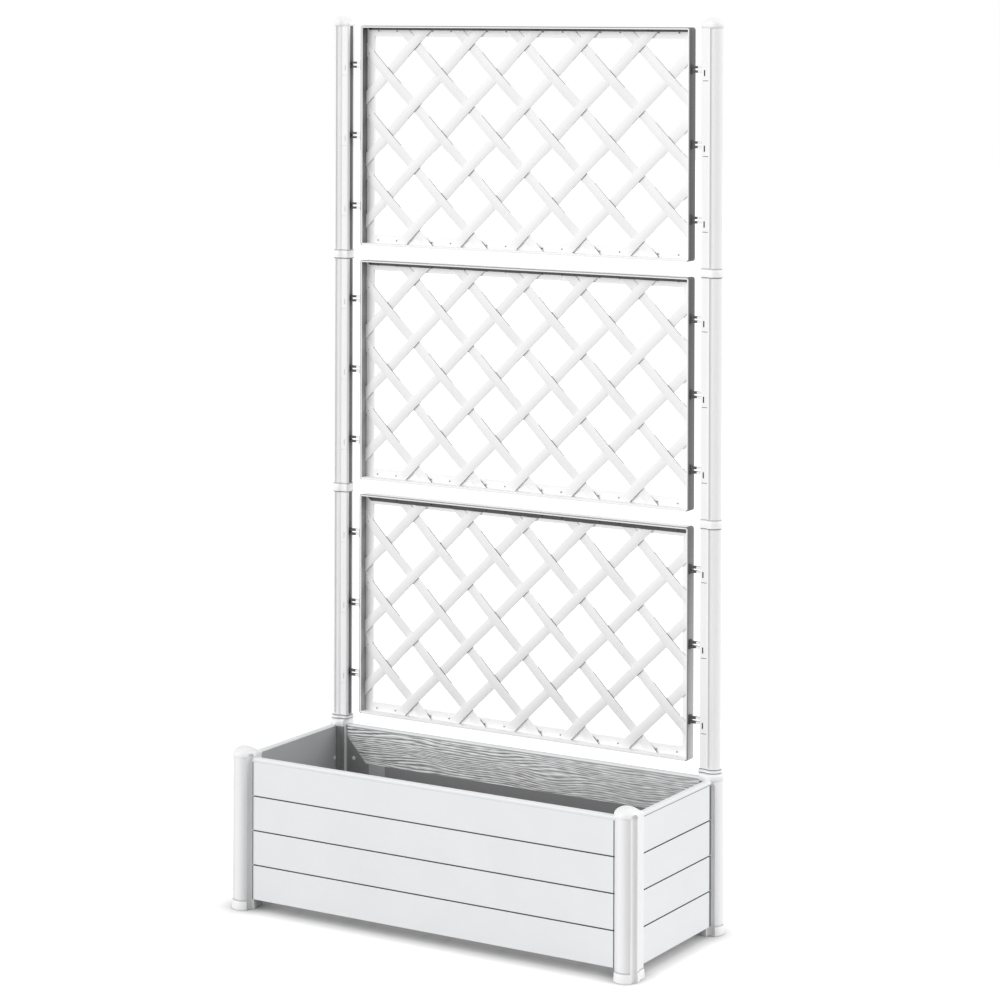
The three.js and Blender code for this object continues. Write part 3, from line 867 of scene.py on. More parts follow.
@dataclass
class Trough:
    """Feet, corner posts, caps, collars, walls, tray and pins of the trough.

    Attributes:
        finishes: The materials.
        cap: The caps of the front posts.
        arch_below: Where the arches of the flutes begin, below the tops of the posts.
        foot: The feet, flared to the floor, with painted shade on the neck.
        collar_lip: How far a collar stands out beyond its corner post.
        collar_round: How far its top stands out beyond the round front and body end of the trellis post.
        collar_side: How far its top stands out beyond the sides of the trellis post.
        shoulder: Share of a collar's height below its round shoulder.
        seam_width: Width of a board seam.
        seam_depth: Depth of a board seam.
        seam_ease: Rounding of a board's edge.
        seam_shades: Painted shade up a board seam, from the edge of one board to that of the next.
        boards: Boards in a wall.
        rim: Height of the rounded rim above the top board.
        rim_groove: Depth and height of the points of the groove below the rim, from its lower edge.
        rim_out: Radius of the rim's outer edge.
        rim_in: Radius of its inner edge.
        wall: Thickness of the walls.
        long_look: Painted shade of the front and back walls.
        side_look: Painted shade of the left and right walls.
        tray_edge: Rounding of the tray's edges.
        pin_edge: Rounding of the pins' heads.
        end_shade: Painted shade of the line where a wall meets a post.
        inner_shade: Painted shade on the walls' inner faces.
        round_shade: Painted shade on the rounds of the front posts beside their flutes.
        round_plain: Half the width of a round that stays plain.
        round_fade: Width over which it darkens.
        trough_shade: Painted shade on a back post inside the trough.
        trough_from: Where that begins, measured inward from the post's middle line.
        flute_tint: Painted shade in the flutes.
    """

    finishes: Finishes
    cap: Dome = Dome(3 * MM, 4 * MM)
    arch_below: dict[End, float] = field(default_factory=lambda: {End.FRONT: 1 * MM, End.BACK: 10 * MM})
    foot: Band = Band(
        ((0.0, 1.4), (0.5, 2.2), (1.6, 2.6), (4.0, 2.5)),
        ((-2.3, 1.4), (-1.1, 0.8), (0.0, 0.2)),
        (0.0, 0.0, 0.0, 0.0, 0.45, 0.45),
    )
    collar_lip: float = 0.4 * MM
    collar_round: float = 1.4 * MM
    collar_side: float = 3.4 * MM
    shoulder: float = 0.62
    seam_width: float = 2.6 * MM
    seam_depth: float = 5 * MM
    seam_ease: float = 0.7 * MM
    seam_shades: tuple[float, ...] = (0.0, 0.25, 1.0, 1.0, 1.0, 0.25, 0.0, 0.0)
    boards: int = 4
    rim: float = 8 * MM
    rim_groove: tuple[Pair, ...] = ((0.0, -1.2 * MM), (1 * MM, -0.2 * MM), (0.2 * MM, 0.8 * MM))
    rim_out: float = 4.5 * MM
    rim_in: float = 4 * MM
    wall: float = 15 * MM
    long_look: WallLook = WallLook(0.12, 2.5 * MM)
    side_look: WallLook = WallLook(0.75, 8 * MM)
    tray_edge: float = 0.8 * MM
    pin_edge: float = 0.5 * MM
    end_shade: float = 1.0
    inner_shade: float = 0.6
    round_shade: float = 0.2
    round_plain: float = 4 * MM
    round_fade: float = 14 * MM
    trough_shade: float = 0.8
    trough_from: float = 5 * MM
    flute_tint: dict[End, float] = field(default_factory=lambda: {End.FRONT: 0.06, End.BACK: 0.0})

    def build(self) -> None:
        """Make every piece of the trough."""
        for end in End:
            for side in Side:
                self.corner(side, end)
        for part in (*End, *Side):
            self.boarded_wall(part)
        GrainLining(self.finishes, self.wall, self.rim).build()
        self.pins()
        tray = copy_of_node("floor_tray", "tray_smooth")
        round_edges(tray, self.tray_edge)
        dress(tray, self.finishes.tray, "tray_resin", "floor_tray")

    def corner(self, side: Side, end: End) -> None:
        """Foot, corner post, and cap or collar of one corner.

        Args:
            side: Left or right.
            end: Front or back.
        """
        place = f"{end.word}_{side.word}"
        stand, section = stand_for(side, end), CORNER[end]
        low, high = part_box(f"corner_post_{place}")

        def shade(u: float, v: float) -> float:
            """Painted shade of the post's skin at a place of its outline."""
            return self.skin_shade(end, stand, u, v)

        post = prism(f"post_smooth_{place}", stand, section, low.z, high.z, shade)
        foot = self.foot.build(f"foot_smooth_{place}", stand, section, 0.0, low.z - JOINT)
        pieces = {f"corner_post_{place}": post, f"foot_{place}": foot}
        if end is End.FRONT:
            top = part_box(f"post_cap_{place}")[1].z
            cap = self.cap.build(f"cap_smooth_{place}", stand, section, high.z + JOINT, top)
            pieces[f"post_cap_{place}"] = cap
        arch = high.z - self.arch_below[end]
        for node, piece in pieces.items():
            cutters = bmesh.new()
            add_flutes(cutters, stand, section.flute, -OVERCUT, arch, self.flute_tint[end])
            carve(piece, cutters)
            dress(piece, self.finishes.post, "post_resin", node)
        if end is End.BACK:
            self.collar(side, stand)

    def skin_shade(self, end: End, stand: Stand, u: float, v: float) -> float:
        """Painted shade of a corner post's skin at a place of its outline.

        Painted shade darkens the rounds of the front posts towards their flutes, and a back post inside the
        trough.

        Args:
            end: Front or back.
            stand: Where the post stands.
            u: Place along its body.
            v: Place across.

        Returns:
            The shade.
        """
        if end is End.FRONT:
            return self.round_shade * held((abs(v) - self.round_plain) / self.round_fade) if u < 0 else 0.0
        in_trough = u > 0 and v * stand.ux < -self.trough_from
        return self.trough_shade if in_trough else 0.0

    def collar(self, side: Side, stand: Stand) -> None:
        """Collar of one back post: flush with the corner post, with a round shoulder in to the trellis post.

        Args:
            side: Left or right.
            stand: Where the corner post stands.
        """
        node = f"post_collar_back_{side.word}"
        low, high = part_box(node)
        section, lip, rise = CORNER[End.BACK], self.collar_lip, high.z - low.z
        out = (stand.x - rail_stand(side).x) * -side.value
        wide = (section.r + lip, section.half + lip, section.reach + lip)
        slim = (RAIL.r + self.collar_round, RAIL.half + self.collar_side, RAIL.reach + self.collar_round)
        turn = [(self.shoulder + (1 - self.shoulder) * math.sin(a), math.cos(a), 0.0) for a in eighths(0, 8)]
        levels = [(0.0, 1.0, -EASE), (EASE / rise, 1.0, 0.0), *turn]
        rings = []
        for up, share, grow in levels:
            r, half, reach = (b + (a - b) * share for a, b in zip(wide, slim))
            outline = Section(r, half, reach, section.flute).outline(grow=grow)
            shift = out * (1 - share)
            rings.append(stand.ring([(u - shift, v) for u, v in outline], low.z + rise * up))
        work = bmesh.new()
        add_rings(work, rings)
        collar = settle(work, f"collar_smooth_back_{side.word}", sharp=45)
        dress(collar, self.finishes.post, "post_resin", node)

    def profile(self, low: float, top: float, groove: float) -> list[WallPoint]:
        """Closed cross-section of a wall, up its outer face and down its inner one.

        Args:
            low: Bottom of the wall.
            top: Top of it.
            groove: Painted shade of the groove below the rim.

        Returns:
            Its points.
        """
        rim_line = top - self.rim
        board = (rim_line - low) / self.boards
        half, ease = self.seam_width / 2, self.seam_ease
        edge = [(self.seam_depth, half), (ease, half), (0.25 * ease, half + 0.3 * ease), (0.0, half + ease)]
        points = [WallPoint(0.0, low, darkens=True)]
        for k in range(1, self.boards):
            z = low + k * board
            seam = [(deep, z - up) for deep, up in reversed(edge)] + [(deep, z + up) for deep, up in edge]
            points += [WallPoint(*at, shade, darkens=True) for at, shade in zip(seam, self.seam_shades)]
        for (deep, up), shade in zip(self.rim_groove, (groove, groove / 3, 0.0)):
            points.append(WallPoint(deep, rim_line + up, shade))
        quarter = [(1 - math.cos(a), 1 - math.sin(a)) for a in eighths(0, 8)]
        points += [WallPoint(self.rim_out * inward, top - self.rim_out * down) for inward, down in quarter]
        points += [
            WallPoint(self.wall - self.rim_in * inward, top - self.rim_in * down)
            for inward, down in reversed(quarter)
        ]
        points[-1] = replace(points[-1], shade=self.inner_shade)
        return [*points, WallPoint(self.wall, low)]

    def boarded_wall(self, part: End | Side) -> None:
        """One wall, swept along its length from post to post, with painted shade where it meets them.

        Args:
            part: The end or the side that it closes.
        """
        node = f"wall_{part.word}"
        low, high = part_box(node)
        is_long = isinstance(part, End)
        look = self.long_look if is_long else self.side_look
        across, along = (1, 0) if is_long else (0, 1)
        outer = (low if part.value < 0 else high)[across]
        points = self.profile(low.z, high.z, look.groove)
        rings = []
        for at in (low[along], low[along] + look.end_line, high[along] - look.end_line, high[along]):
            ring = [(outer - part.value * point.depth, at, point.z) for point in points]
            rings.append([(y, x, z) for x, y, z in ring] if is_long else ring)
        middle = 1

        def shade(k: int, i: int) -> float:
            """Painted shade of one stretch of skin, in the middle or in one of the dark lines at the ends."""
            return self.end_shade if points[i].darkens and k != middle else points[i].shade

        work = bmesh.new()
        add_rings(work, rings, shade)
        wall = settle(work, f"{node}_boards", sharp=15)
        dress(wall, self.finishes.long_wall if is_long else self.finishes.side_wall, "wall_resin", node)

    def pins(self) -> None:
        """Wall pins, the CAD ones with rounded heads, one near each end of each wall."""
        for part in (*End, *Side):
            for corner in Side if isinstance(part, End) else End:
                node = f"wall_pin_{part.word}_{corner.word}"
                pin = copy_of_node(node, f"pin_smooth_{part.word}_{corner.word}")
                round_edges(pin, self.pin_edge, angle=20)
                dress(pin, self.finishes.pin, "pin_resin", node)


@dataclass
class GrainLining:
    """Lining of the back wall's inner face: embossed wood grain above, flat resin below and at the left with
    a painted shadow of the front and left walls.

    Attributes:
        finishes: The materials.
        wall: Thickness of the wall.
        rim: Height of the wall's rim.
        foot: Height of the lining's lower edge.
        gap: Distance of its ends from the corner posts.
        lap: How far it reaches up into the rim.
        sunk: How far its border lies inside the wall.
        raised: How far the furrows stand out from its border.
        relief: Height of the ridges above the furrows.
        step_x: Distance of its points along the wall.
        step_z: Distance of its points up the wall.
        slope_from: A point of the sloping edge of the painted shadow of the left wall, along the wall and up.
        slope: Fall of that edge.
        flat_top: Top of the painted shadow of the front wall, along the rest of the wall.
        patch: Where along the wall that painted shadow is paler.
        patch_high: How far down the paler patch reaches.
        patch_shade: Its painted shade.
        line: Distance from furrow to furrow.
        knots: Length and height of the large bends of the grain.
        waves: Length and height of its small bends.
        fibres: Length and height of the fibres in it.
        strong: Strength of the grain at the left end.
        weaker: How much of it is lost by the right half.
        fade: Where along the wall it is lost.
    """

    finishes: Finishes
    wall: float
    rim: float
    foot: float = 190 * MM
    gap: float = 1.5 * MM
    lap: float = 1 * MM
    sunk: float = 0.2 * MM
    raised: float = 0.4 * MM
    relief: float = 1 * MM
    step_x: float = 2.4 * MM
    step_z: float = 1 * MM
    slope_from: Pair = (-448 * MM, 299 * MM)
    slope: float = 1.1
    flat_top: float = 246 * MM
    patch: Pair = (-392 * MM, -349 * MM)
    patch_high: float = 28 * MM
    patch_shade: float = 0.45
    line: float = 4.8 * MM
    knots: Pair = (170 * MM, 34 * MM)
    waves: Pair = (60 * MM, 10 * MM)
    fibres: Pair = (22 * MM, 1.4 * MM)
    strong: float = 0.68
    weaker: float = 0.3
    fade: Pair = (-450 * MM, 250 * MM)

    def build(self) -> None:
        """Make the lining as a relief of small squares, closed at the back."""
        low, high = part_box("wall_back")
        face = high.y - self.wall + self.sunk
        x0, x1 = low.x + self.gap, high.x - self.gap
        z0, z1 = self.foot, high.z - self.rim + self.lap
        columns, rows = round((x1 - x0) / self.step_x), round((z1 - z0) / self.step_z)
        work = bmesh.new()
        grain = work.verts.layers.float.new(GRAIN)
        shade = work.faces.layers.float.new(SHADE)
        grid = []
        for j in range(rows + 1):
            row = []
            for i in range(columns + 1):
                x, z = x0 + (x1 - x0) * i / columns, z0 + (z1 - z0) * j / rows
                height = 0.5 if self.flat_shade(x, z) else self.wood(x, z)
                on_border = i in (0, columns) or j in (0, rows)
                out = 0.0 if on_border else self.raised + self.relief * height
                vert = work.verts.new((x, face - out, z))
                vert[grain] = height
                row.append(vert)
            grid.append(row)
        for below, above in zip(grid, grid[1:]):
            for i in range(columns):
                made = work.faces.new((below[i], below[i + 1], above[i + 1], above[i]))
                middle = made.calc_center_median()
                # Painted shadow of the front and left walls on the flat parts.
                made[shade] = self.flat_shade(middle.x, middle.z)
        right, left = [row[-1] for row in grid[1:]], [row[0] for row in reversed(grid[1:-1])]
        work.faces.new([*grid[0], *right, *reversed(grid[-1][:-1]), *left])
        dress(settle(work, "grain_band_back", sharp=80), self.finishes.grained, "wall_resin")

    def flat_shade(self, x: float, z: float) -> float:
        """Painted shadow on the lining where it is flat, without grain.

        Args:
            x: Place along the wall.
            z: Height.

        Returns:
            The painted shade, or 0 where the lining is grained.
        """
        below_patch = z <= self.flat_top - self.patch_high
        if z < self.slope_from[1] - self.slope * (x - self.slope_from[0]):
            return 1.0 if x < self.patch[0] or below_patch else self.patch_shade
        if z > self.flat_top:
            return 0.0
        return self.patch_shade if self.patch[0] < x < self.patch[1] and not below_patch else 1.0

    def wood(self, x: float, z: float) -> float:
        """Height of the wood grain at a place on the wall, strongest at the left.

        Args:
            x: Place along the wall.
            z: Height.

        Returns:
            The height, from 0 in a furrow to 1 on a ridge.
        """
        seeds = (3.1, 7.7, 12.4)
        knot_pull, wave_pull = 2.6, 0.35
        furrow_part, fibre_part = 0.8, 0.96
        bend, wander, fibre = (
            noise.noise(Vector((x / length, z / height, seed)))
            for (length, height), seed in zip((self.knots, self.waves, self.fibres), seeds)
        )
        bands = math.sin(2 * math.pi * (z / self.line + knot_pull * bend + wave_pull * wander))
        lost = held((x - self.fade[0]) / (self.fade[1] - self.fade[0]))
        strength = self.strong - self.weaker * lost
        return held(0.5 + strength * (furrow_part * bands * abs(bands) + fibre_part * fibre))


# ---- trellis -------------------------------------------------------------------------------------


@dataclass(frozen=True)
class Mark:
    """Cut in a trellis post's front face beside a clip.

    Attributes:
        near: Distance of its outer end from the end of the post's body.
        far: Distance of its inner end.
        deep: Its depth.
        low: Height of its lower edge, counted from the middle of the clip.
        high: Height of its upper edge.
    """

    near: float
    far: float
    deep: float
    low: float
    high: float


@dataclass
class TrellisPosts:
    """The trellis posts with their couplings, foot rings and caps.

    Attributes:
        finishes: The materials.
        cap: The caps on top.
        foot_ring: The ring at the foot of each lowest post, with painted shade in the lines at its bottom and
            top.
        link: The coupling between two lengths, with painted shade in the lines at its ends.
        base: Plain height below the flutes and the channel of the lowest post.
        channel_half: Half the width of the channel for the clips.
        channel_deep: Depth of the channel.
        channel_shade: Painted shade inside it.
        flute_tint: Painted shade in the flutes.
        marks: A slit and a small step below it on each side; the slit is deeper on the right.
        mark_shade: Painted shade in them, faint on the left and full on the right.
    """

    finishes: Finishes
    cap: Dome = Dome(5 * MM, 3 * MM, fall=0.35)
    foot_ring: Band = Band(
        ((0.0, 1.6), (1.4, 1.6), (1.8, 3.4), (5.4, 3.4), (6.0, 2.2), (6.9, 1.4), (7.6, 0.6), (8.6, 0.3)),
        (),
        (0.9, 0.9, 0.0, 0.0, 0.35, 0.9, 0.9),
    )
    link: Band = Band(
        ((0.0, 0.3), (1.8, 0.3), (2.2, 1.8), (5.5, 1.7), (6.0, 1.1)),
        ((-2.0, 1.0), (-1.2, 0.4), (0.0, 0.3)),
        (0.8, 0.8, 0.0, 0.0, 0.0, 0.3, 0.6),
    )
    base: float = 9 * MM
    channel_half: float = 6 * MM
    channel_deep: float = 10.3 * MM
    channel_shade: float = 0.5
    flute_tint: float = 0.14
    marks: dict[Side, tuple[Mark, Mark]] = field(
        default_factory=lambda: {
            side: (
                Mark(9.5 * MM, 6.5 * MM, slit_deep, -14 * MM, -1 * MM),
                Mark(17 * MM, 4 * MM, 0.9 * MM, -24.6 * MM, -23.2 * MM),
            )
            for side, slit_deep in ((Side.LEFT, 0.875 * MM), (Side.RIGHT, 3 * MM))
        }
    )
    mark_shade: dict[Side, float] = field(default_factory=lambda: {Side.LEFT: 0.15, Side.RIGHT: 1.0})

    def build(self) -> None:
        """Make the posts of both sides."""
        for side in Side:
            stand = rail_stand(side)
            for tier in Tier:
                self.post(side, tier, stand)
            for tier in (Tier.LOWER, Tier.MIDDLE):
                self.coupling(side, tier, stand)
            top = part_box(f"top_cap_{side.word}")[1].z
            post_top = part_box(f"trellis_post_{side.word}_upper")[1].z
            cap = self.cap.build(f"top_cap_smooth_{side.word}", stand, RAIL, post_top + JOINT, top)
            dress(cap, self.finishes.post, "post_resin", f"top_cap_{side.word}")

    def post(self, side: Side, tier: Tier, stand: Stand) -> None:
        """One length of trellis post, with its flutes, the channel in its end and the marks at its clips.

        Args:
            side: Left or right.
            tier: Which length.
            stand: Where it stands.
        """
        node = f"trellis_post_{side.word}_{tier.word}"
        lowest = tier is Tier.LOWER
        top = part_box(node)[1].z
        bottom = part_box(f"post_collar_back_{side.word}")[1].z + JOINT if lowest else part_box(node)[0].z
        post = prism(f"rail_smooth_{side.word}_{tier.word}", stand, RAIL, bottom, top)
        cutters = bmesh.new()
        open_from = bottom + self.base if lowest else bottom - OVERCUT
        arch = RAIL.flute.r if lowest else 0.0
        add_flutes(cutters, stand, RAIL.flute, open_from + arch, top + OVERCUT, self.flute_tint, lowest)
        self.add_channel(cutters, stand, open_from, top + OVERCUT)
        for i in CLIP_ROWS:
            low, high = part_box(f"clip_{tier.word}_{side.word}_{i}")
            self.add_marks(cutters, stand, side, (low.z + high.z) / 2)
        carve(post, cutters)
        dress(post, self.finishes.post, "post_resin", node)
        if lowest:
            ring = self.foot_ring.build(f"rail_foot_ring_{side.word}", stand, RAIL, bottom, bottom)
            dress(ring, self.finishes.post, "post_resin")

    def add_channel(self, work: bmesh.types.BMesh, stand: Stand, z0: float, z1: float) -> None:
        """Add the cutter for the channel that takes the clips.

        Args:
            work: The bmesh that gets it.
            stand: Where the post stands.
            z0: Lower end.
            z1: Upper end.
        """
        floor, mouth, half = RAIL.reach - self.channel_deep, RAIL.reach + OVERCUT, self.channel_half
        corners = [(floor, -half), (mouth, -half), (mouth, half), (floor, half)]
        add_rings(work, [stand.ring(corners, z) for z in (z0, z1)], lambda k, i: self.channel_shade)

    def add_marks(self, work: bmesh.types.BMesh, stand: Stand, side: Side, z: float) -> None:
        """Add the cutters for the marks in the post's front face beside a clip.

        Args:
            work: The bmesh that gets them.
            stand: Where the post stands.
            side: The side that it is on.
            z: Height of the clip.
        """
        front = -1 if stand.ux > 0 else 1
        for mark in self.marks[side]:
            v0, v1 = sorted((front * (RAIL.half - mark.deep), front * (RAIL.half + OVERCUT)))
            near, far = RAIL.reach - mark.near, RAIL.reach - mark.far
            corners = [(near, v0), (far, v0), (far, v1), (near, v1)]
            rings = [stand.ring(corners, z + up) for up in (mark.low, mark.high)]
            add_rings(work, rings, lambda k, i: self.mark_shade[side])

    def coupling(self, side: Side, tier: Tier, stand: Stand) -> None:
        """Band between two lengths of trellis post.

        Args:
            side: Left or right.
            tier: The tier below it.
            stand: Where it stands.
        """
        node = f"post_coupling_{side.word}_{tier.word}"
        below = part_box(f"trellis_post_{side.word}_{tier.word}")[1].z
        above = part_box(f"trellis_post_{side.word}_{Tier(tier.value + 1).word}")[0].z
        name = f"coupling_smooth_{side.word}_{tier.word}"
        band = self.link.build(name, stand, RAIL, below + JOINT, above - JOINT)
        dress(band, self.finishes.post, "post_resin", node)


class Stretch(Enum):
    """The stretches of a panel frame's cross-section, in from its outer face and round to it again."""

    # The edge, the inner faces, the strip and the right outer face carry painted shade.
    EDGE = "dark outer edge of the lip"
    LIP = "front face of the lip"
    INSIDE = "inner face of the wall"
    STRIP = "strip of the border beside the wall"
    BORDER = "border behind the slats"
    BACK = "back"
    OUTSIDE = "outer face of the wall"


@dataclass(frozen=True)
class Gradient:
    """Painted shade that changes evenly from the top of a panel to its bottom.

    Attributes:
        top: Shade at the top.
        bottom: Shade at the bottom.
    """

    top: float
    bottom: float

    def at(self, share: float) -> float:
        """Shade at a share of the panel's height, counted from its top."""
        return self.top + (self.bottom - self.top) * share


@dataclass
class TrellisPanels:
    """The framed lattices: a shallow frame each, slats woven across it and nail heads along its border.

    Attributes:
        finishes: The materials.
        wall: Thickness of the frame's walls.
        border: Width of the border behind them.
        plate: Thickness of the border.
        corner: Radius of the frame's outer corners.
        soft: Rounding of the lip's edges.
        line: Width of the painted shade on the outer edge of the lip.
        pitch_x: Distance of the crossings across.
        pitch_z: Distance of the crossings up.
        slat_width: Width of a slat.
        slat_thick: Thickness of a slat.
        weave: How far a slat swings to the front and back of the middle plane.
        sunk: How far the slats are let into the border.
        tucked: How far the ends of the slats reach into the frame's walls.
        nail: Radius of a nail head.
        nail_inset: Distance of the nail heads from the panel's outline.
        nail_aside: Distance of a nail head from the column or row of crossings beside it.
        inside_shade: Painted shade on the inner face of the top wall, with the strip beside it.
        edge_shade: Painted shade on the outer edge of the lip.
        strip: Height of the strip of painted shadow below the top wall, for each tier.
        outside: Painted shade on the right wall's outer face, for each tier.
        inside: Painted shade on the left wall's inner face, for each tier.
    """

    finishes: Finishes
    wall: float = 5 * MM
    border: float = 24 * MM
    plate: float = 6 * MM
    corner: float = 6 * MM
    soft: float = 1.2 * MM
    line: float = 2.2 * MM
    pitch_x: float = 72 * MM
    pitch_z: float = 70 * MM
    slat_width: float = 22 * MM
    slat_thick: float = 2.6 * MM
    weave: float = 1.4 * MM
    sunk: float = 0.6 * MM
    tucked: float = 0.8 * MM
    nail: float = 1.5 * MM
    nail_inset: float = 12 * MM
    nail_aside: float = 25 * MM
    inside_shade: float = 1.0
    edge_shade: float = 0.75
    strip: dict[Tier, float] = field(
        default_factory=lambda: {Tier.LOWER: 12 * MM, Tier.MIDDLE: 7.5 * MM, Tier.UPPER: 5 * MM}
    )
    outside: dict[Tier, Gradient] = field(
        default_factory=lambda: {
            Tier.LOWER: Gradient(0.9, 0.4),
            Tier.MIDDLE: Gradient(0.97, 0.9),
            Tier.UPPER: Gradient(0.95, 0.97),
        }
    )
    inside: dict[Tier, Gradient] = field(
        default_factory=lambda: {
            Tier.LOWER: Gradient(0.75, 0.7),
            Tier.MIDDLE: Gradient(0.78, 0.72),
            Tier.UPPER: Gradient(0.92, 0.85),
        }
    )

    def build(self) -> None:
        """Make the three panels."""
        for tier in Tier:
            self.panel(tier)

    def panel(self, tier: Tier) -> None:
        """Frame, lattice and nail heads of one tier.

        Args:
            tier: Which tier.
        """
        node = f"trellis_panel_{tier.word}"
        low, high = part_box(node)
        frame = self.frame(tier, low, high)
        dress(frame, self.finishes.frame, "panel_resin", node)
        lattice = self.lattice(tier, low, high)
        dress(lattice, self.finishes.lattice, "panel_resin")
        nails = self.nails(tier, low, high)
        dress(nails, self.finishes.nail, "panel_resin")

    def profile(self, tier: Tier, front: float, back: float) -> list[tuple[float, float, Stretch]]:
        """Cross-section of the frame as a closed outline.

        Args:
            tier: Which tier.
            front: Y of the lip.
            back: Y of the back.

        Returns:
            Inset from the panel's outline and Y of each point, and the stretch that starts there.
        """
        soft, wall, face, ease, fillet = self.soft, self.wall, back - self.plate, EASE, 1 * MM
        rounded = [(soft * (1 - math.sin(a)), front + soft * (1 - math.cos(a))) for a in eighths(0, 8)[::2]]
        return [
            *((inset, y, Stretch.EDGE) for inset, y in reversed(rounded)),
            (self.line, front, Stretch.LIP),
            *((wall - inset, y, Stretch.LIP) for inset, y in rounded[:-1]),
            (wall, front + soft, Stretch.INSIDE),
            (wall, face - fillet, Stretch.INSIDE),
            (wall + 0.3 * fillet, face - 0.3 * fillet, Stretch.STRIP),
            (wall + fillet, face, Stretch.STRIP),
            (wall + self.strip[tier], face, Stretch.BORDER),
            (self.border - ease, face, Stretch.BORDER),
            (self.border, face + ease, Stretch.BORDER),
            (self.border, back, Stretch.BACK),
            (ease, back, Stretch.BACK),
            (0.0, back - ease, Stretch.OUTSIDE),
        ]

    def frame(self, tier: Tier, low: Vector, high: Vector) -> bpy.types.Object:
        """Frame swept as one closed profile round a rectangle with rounded corners.

        Args:
            tier: Which tier.
            low: Lowest corner of the CAD panel.
            high: Its highest corner.

        Returns:
            The object.
        """
        profile = self.profile(tier, low.y, high.y)
        rings = [self.rectangle(low, high, inset, y) for inset, y, _ in profile]
        middle = (low + high) / 2
        slack = 0.1 * MM

        def shade(k: int, i: int) -> float:
            """Painted shade of a face: dark on the side walls, on the lip's outer edge and in the corner
            below the top wall.

            Args:
                k: Index of the stretch of the profile.
                i: Index of the step round the rectangle.

            Returns:
                The shade.
            """
            start, stop = Vector(rings[k][i]), Vector(rings[k][(i + 1) % len(rings[k])])
            here = (start + stop) / 2
            part = profile[k][2]
            share = (high.z - here.z) / (high.z - low.z)
            level = abs(stop.z - start.z) < slack
            if part is Stretch.OUTSIDE and here.x > high.x - self.corner:
                return self.outside[tier].at(share)
            if part is Stretch.INSIDE and here.x < low.x + self.border and not level:
                return self.inside[tier].at(share)
            if part in (Stretch.INSIDE, Stretch.STRIP) and level and here.z > middle.z:
                return self.inside_shade
            if part is Stretch.EDGE and not (level and here.z < middle.z):
                return self.edge_shade
            return 0.0

        work = bmesh.new()
        add_rings(work, rings, shade, closed=True)
        return settle(work, f"frame_{tier.word}", sharp=20)

    def rectangle(self, low: Vector, high: Vector, inset: float, y: float) -> list[Point]:
        """Rounded rectangle parallel to the panel's outline, its upright sides in short steps.

        Args:
            low: Lowest corner of the panel.
            high: Its highest corner.
            inset: Distance in from the outline.
            y: Depth at which it lies.

        Returns:
            Its points, from the lower right corner up, over and down again.
        """
        smallest = 0.8 * MM
        radius = max(self.corner - inset, smallest)
        steps, facets = 24, 6
        points: list[Point] = []
        corners = ((True, False), (True, True), (False, True), (False, False))
        from_edge = inset + radius
        for k, (on_right, on_top) in enumerate(corners):
            start = 90 * k - 90
            cx = high.x - from_edge if on_right else low.x + from_edge
            cz = high.z - from_edge if on_top else low.z + from_edge
            for i in range(facets + 1):
                a = math.radians(start + 90 * i / facets)
                points.append((cx + radius * math.cos(a), y, cz + radius * math.sin(a)))
            if on_right != on_top:
                across, begin, stop = points[-1][0], points[-1][2], low.z + high.z - points[-1][2]
                points += [(across, y, begin + (stop - begin) * j / steps) for j in range(1, steps)]
        return points

    def lattice(self, tier: Tier, low: Vector, high: Vector) -> bpy.types.Object:
        """Slats woven by Geometry Nodes and trimmed to the inside of the frame.

        Args:
            tier: Which tier.
            low: Lowest corner of the CAD panel.
            high: Its highest corner.

        Returns:
            The object.
        """
        name = f"lattice_{tier.word}"
        piece = link_object(name, bpy.data.meshes.new(name))
        width, height = high.x - low.x, high.z - low.z
        rows = int((width / 2 - self.border) / self.pitch_x + (height / 2 - self.border) / self.pitch_z)
        odd = rows if rows % 2 else rows - 1
        values = {
            "Pitch Across": self.pitch_x,
            "Pitch Up": self.pitch_z,
            "Half Span": width / 2,
            "Slat Width": self.slat_width,
            "Slat Thickness": self.slat_thick,
            "Weave": self.weave,
            "Slats": odd + 1,
            "Material": self.finishes.lattice,
        }
        feed(piece, weave_tree(), values)
        apply_modifiers(piece)
        work = bmesh.new()
        work.from_mesh(piece.data)
        back = high.y - self.plate + self.sunk
        centre = Vector(((low.x + high.x) / 2, back - self.weave - self.slat_thick / 2, (low.z + high.z) / 2))
        self.shade_sides(work)
        bmesh.ops.translate(work, verts=work.verts, vec=centre)
        edge = self.wall - self.tucked
        trims = [
            ((high.x - edge, 0, 0), (1, 0, 0)),
            ((low.x + edge, 0, 0), (-1, 0, 0)),
            ((0, 0, high.z - self.wall - self.strip[tier]), (0, 0, 1)),
            ((0, 0, low.z + edge), (0, 0, -1)),
        ]
        for point, normal in trims:
            bmesh.ops.holes_fill(work, edges=cut_at(work, point, normal, trim=True), sides=0)
        for face in work.faces:
            face.smooth = True
        work.to_mesh(piece.data)
        work.free()
        piece.data.set_sharp_from_angle(angle=math.radians(25))
        return piece

    def shade_sides(self, work: bmesh.types.BMesh) -> None:
        """Paint shade on the right-hand edges of the slats where they lie over others.

        Args:
            work: The slats, woven about the origin.
        """
        layer = work.faces.layers.float.get(SHADE) or work.faces.layers.float.new(SHADE)
        for face in work.faces:
            face.normal_update()
            if face.normal.x < 0.5:
                continue
            # How far the slat stands forward here, and from where on it is dark: a long stretch on the edges
            # that face up, a short one on those that face down.
            wave = math.cos(math.pi * face.calc_center_median().x / self.pitch_x)
            forward, least = (-wave, 0.1) if face.normal.z > 0 else (wave, 0.75)
            face[layer] = 1.0 if forward > least else 0.0

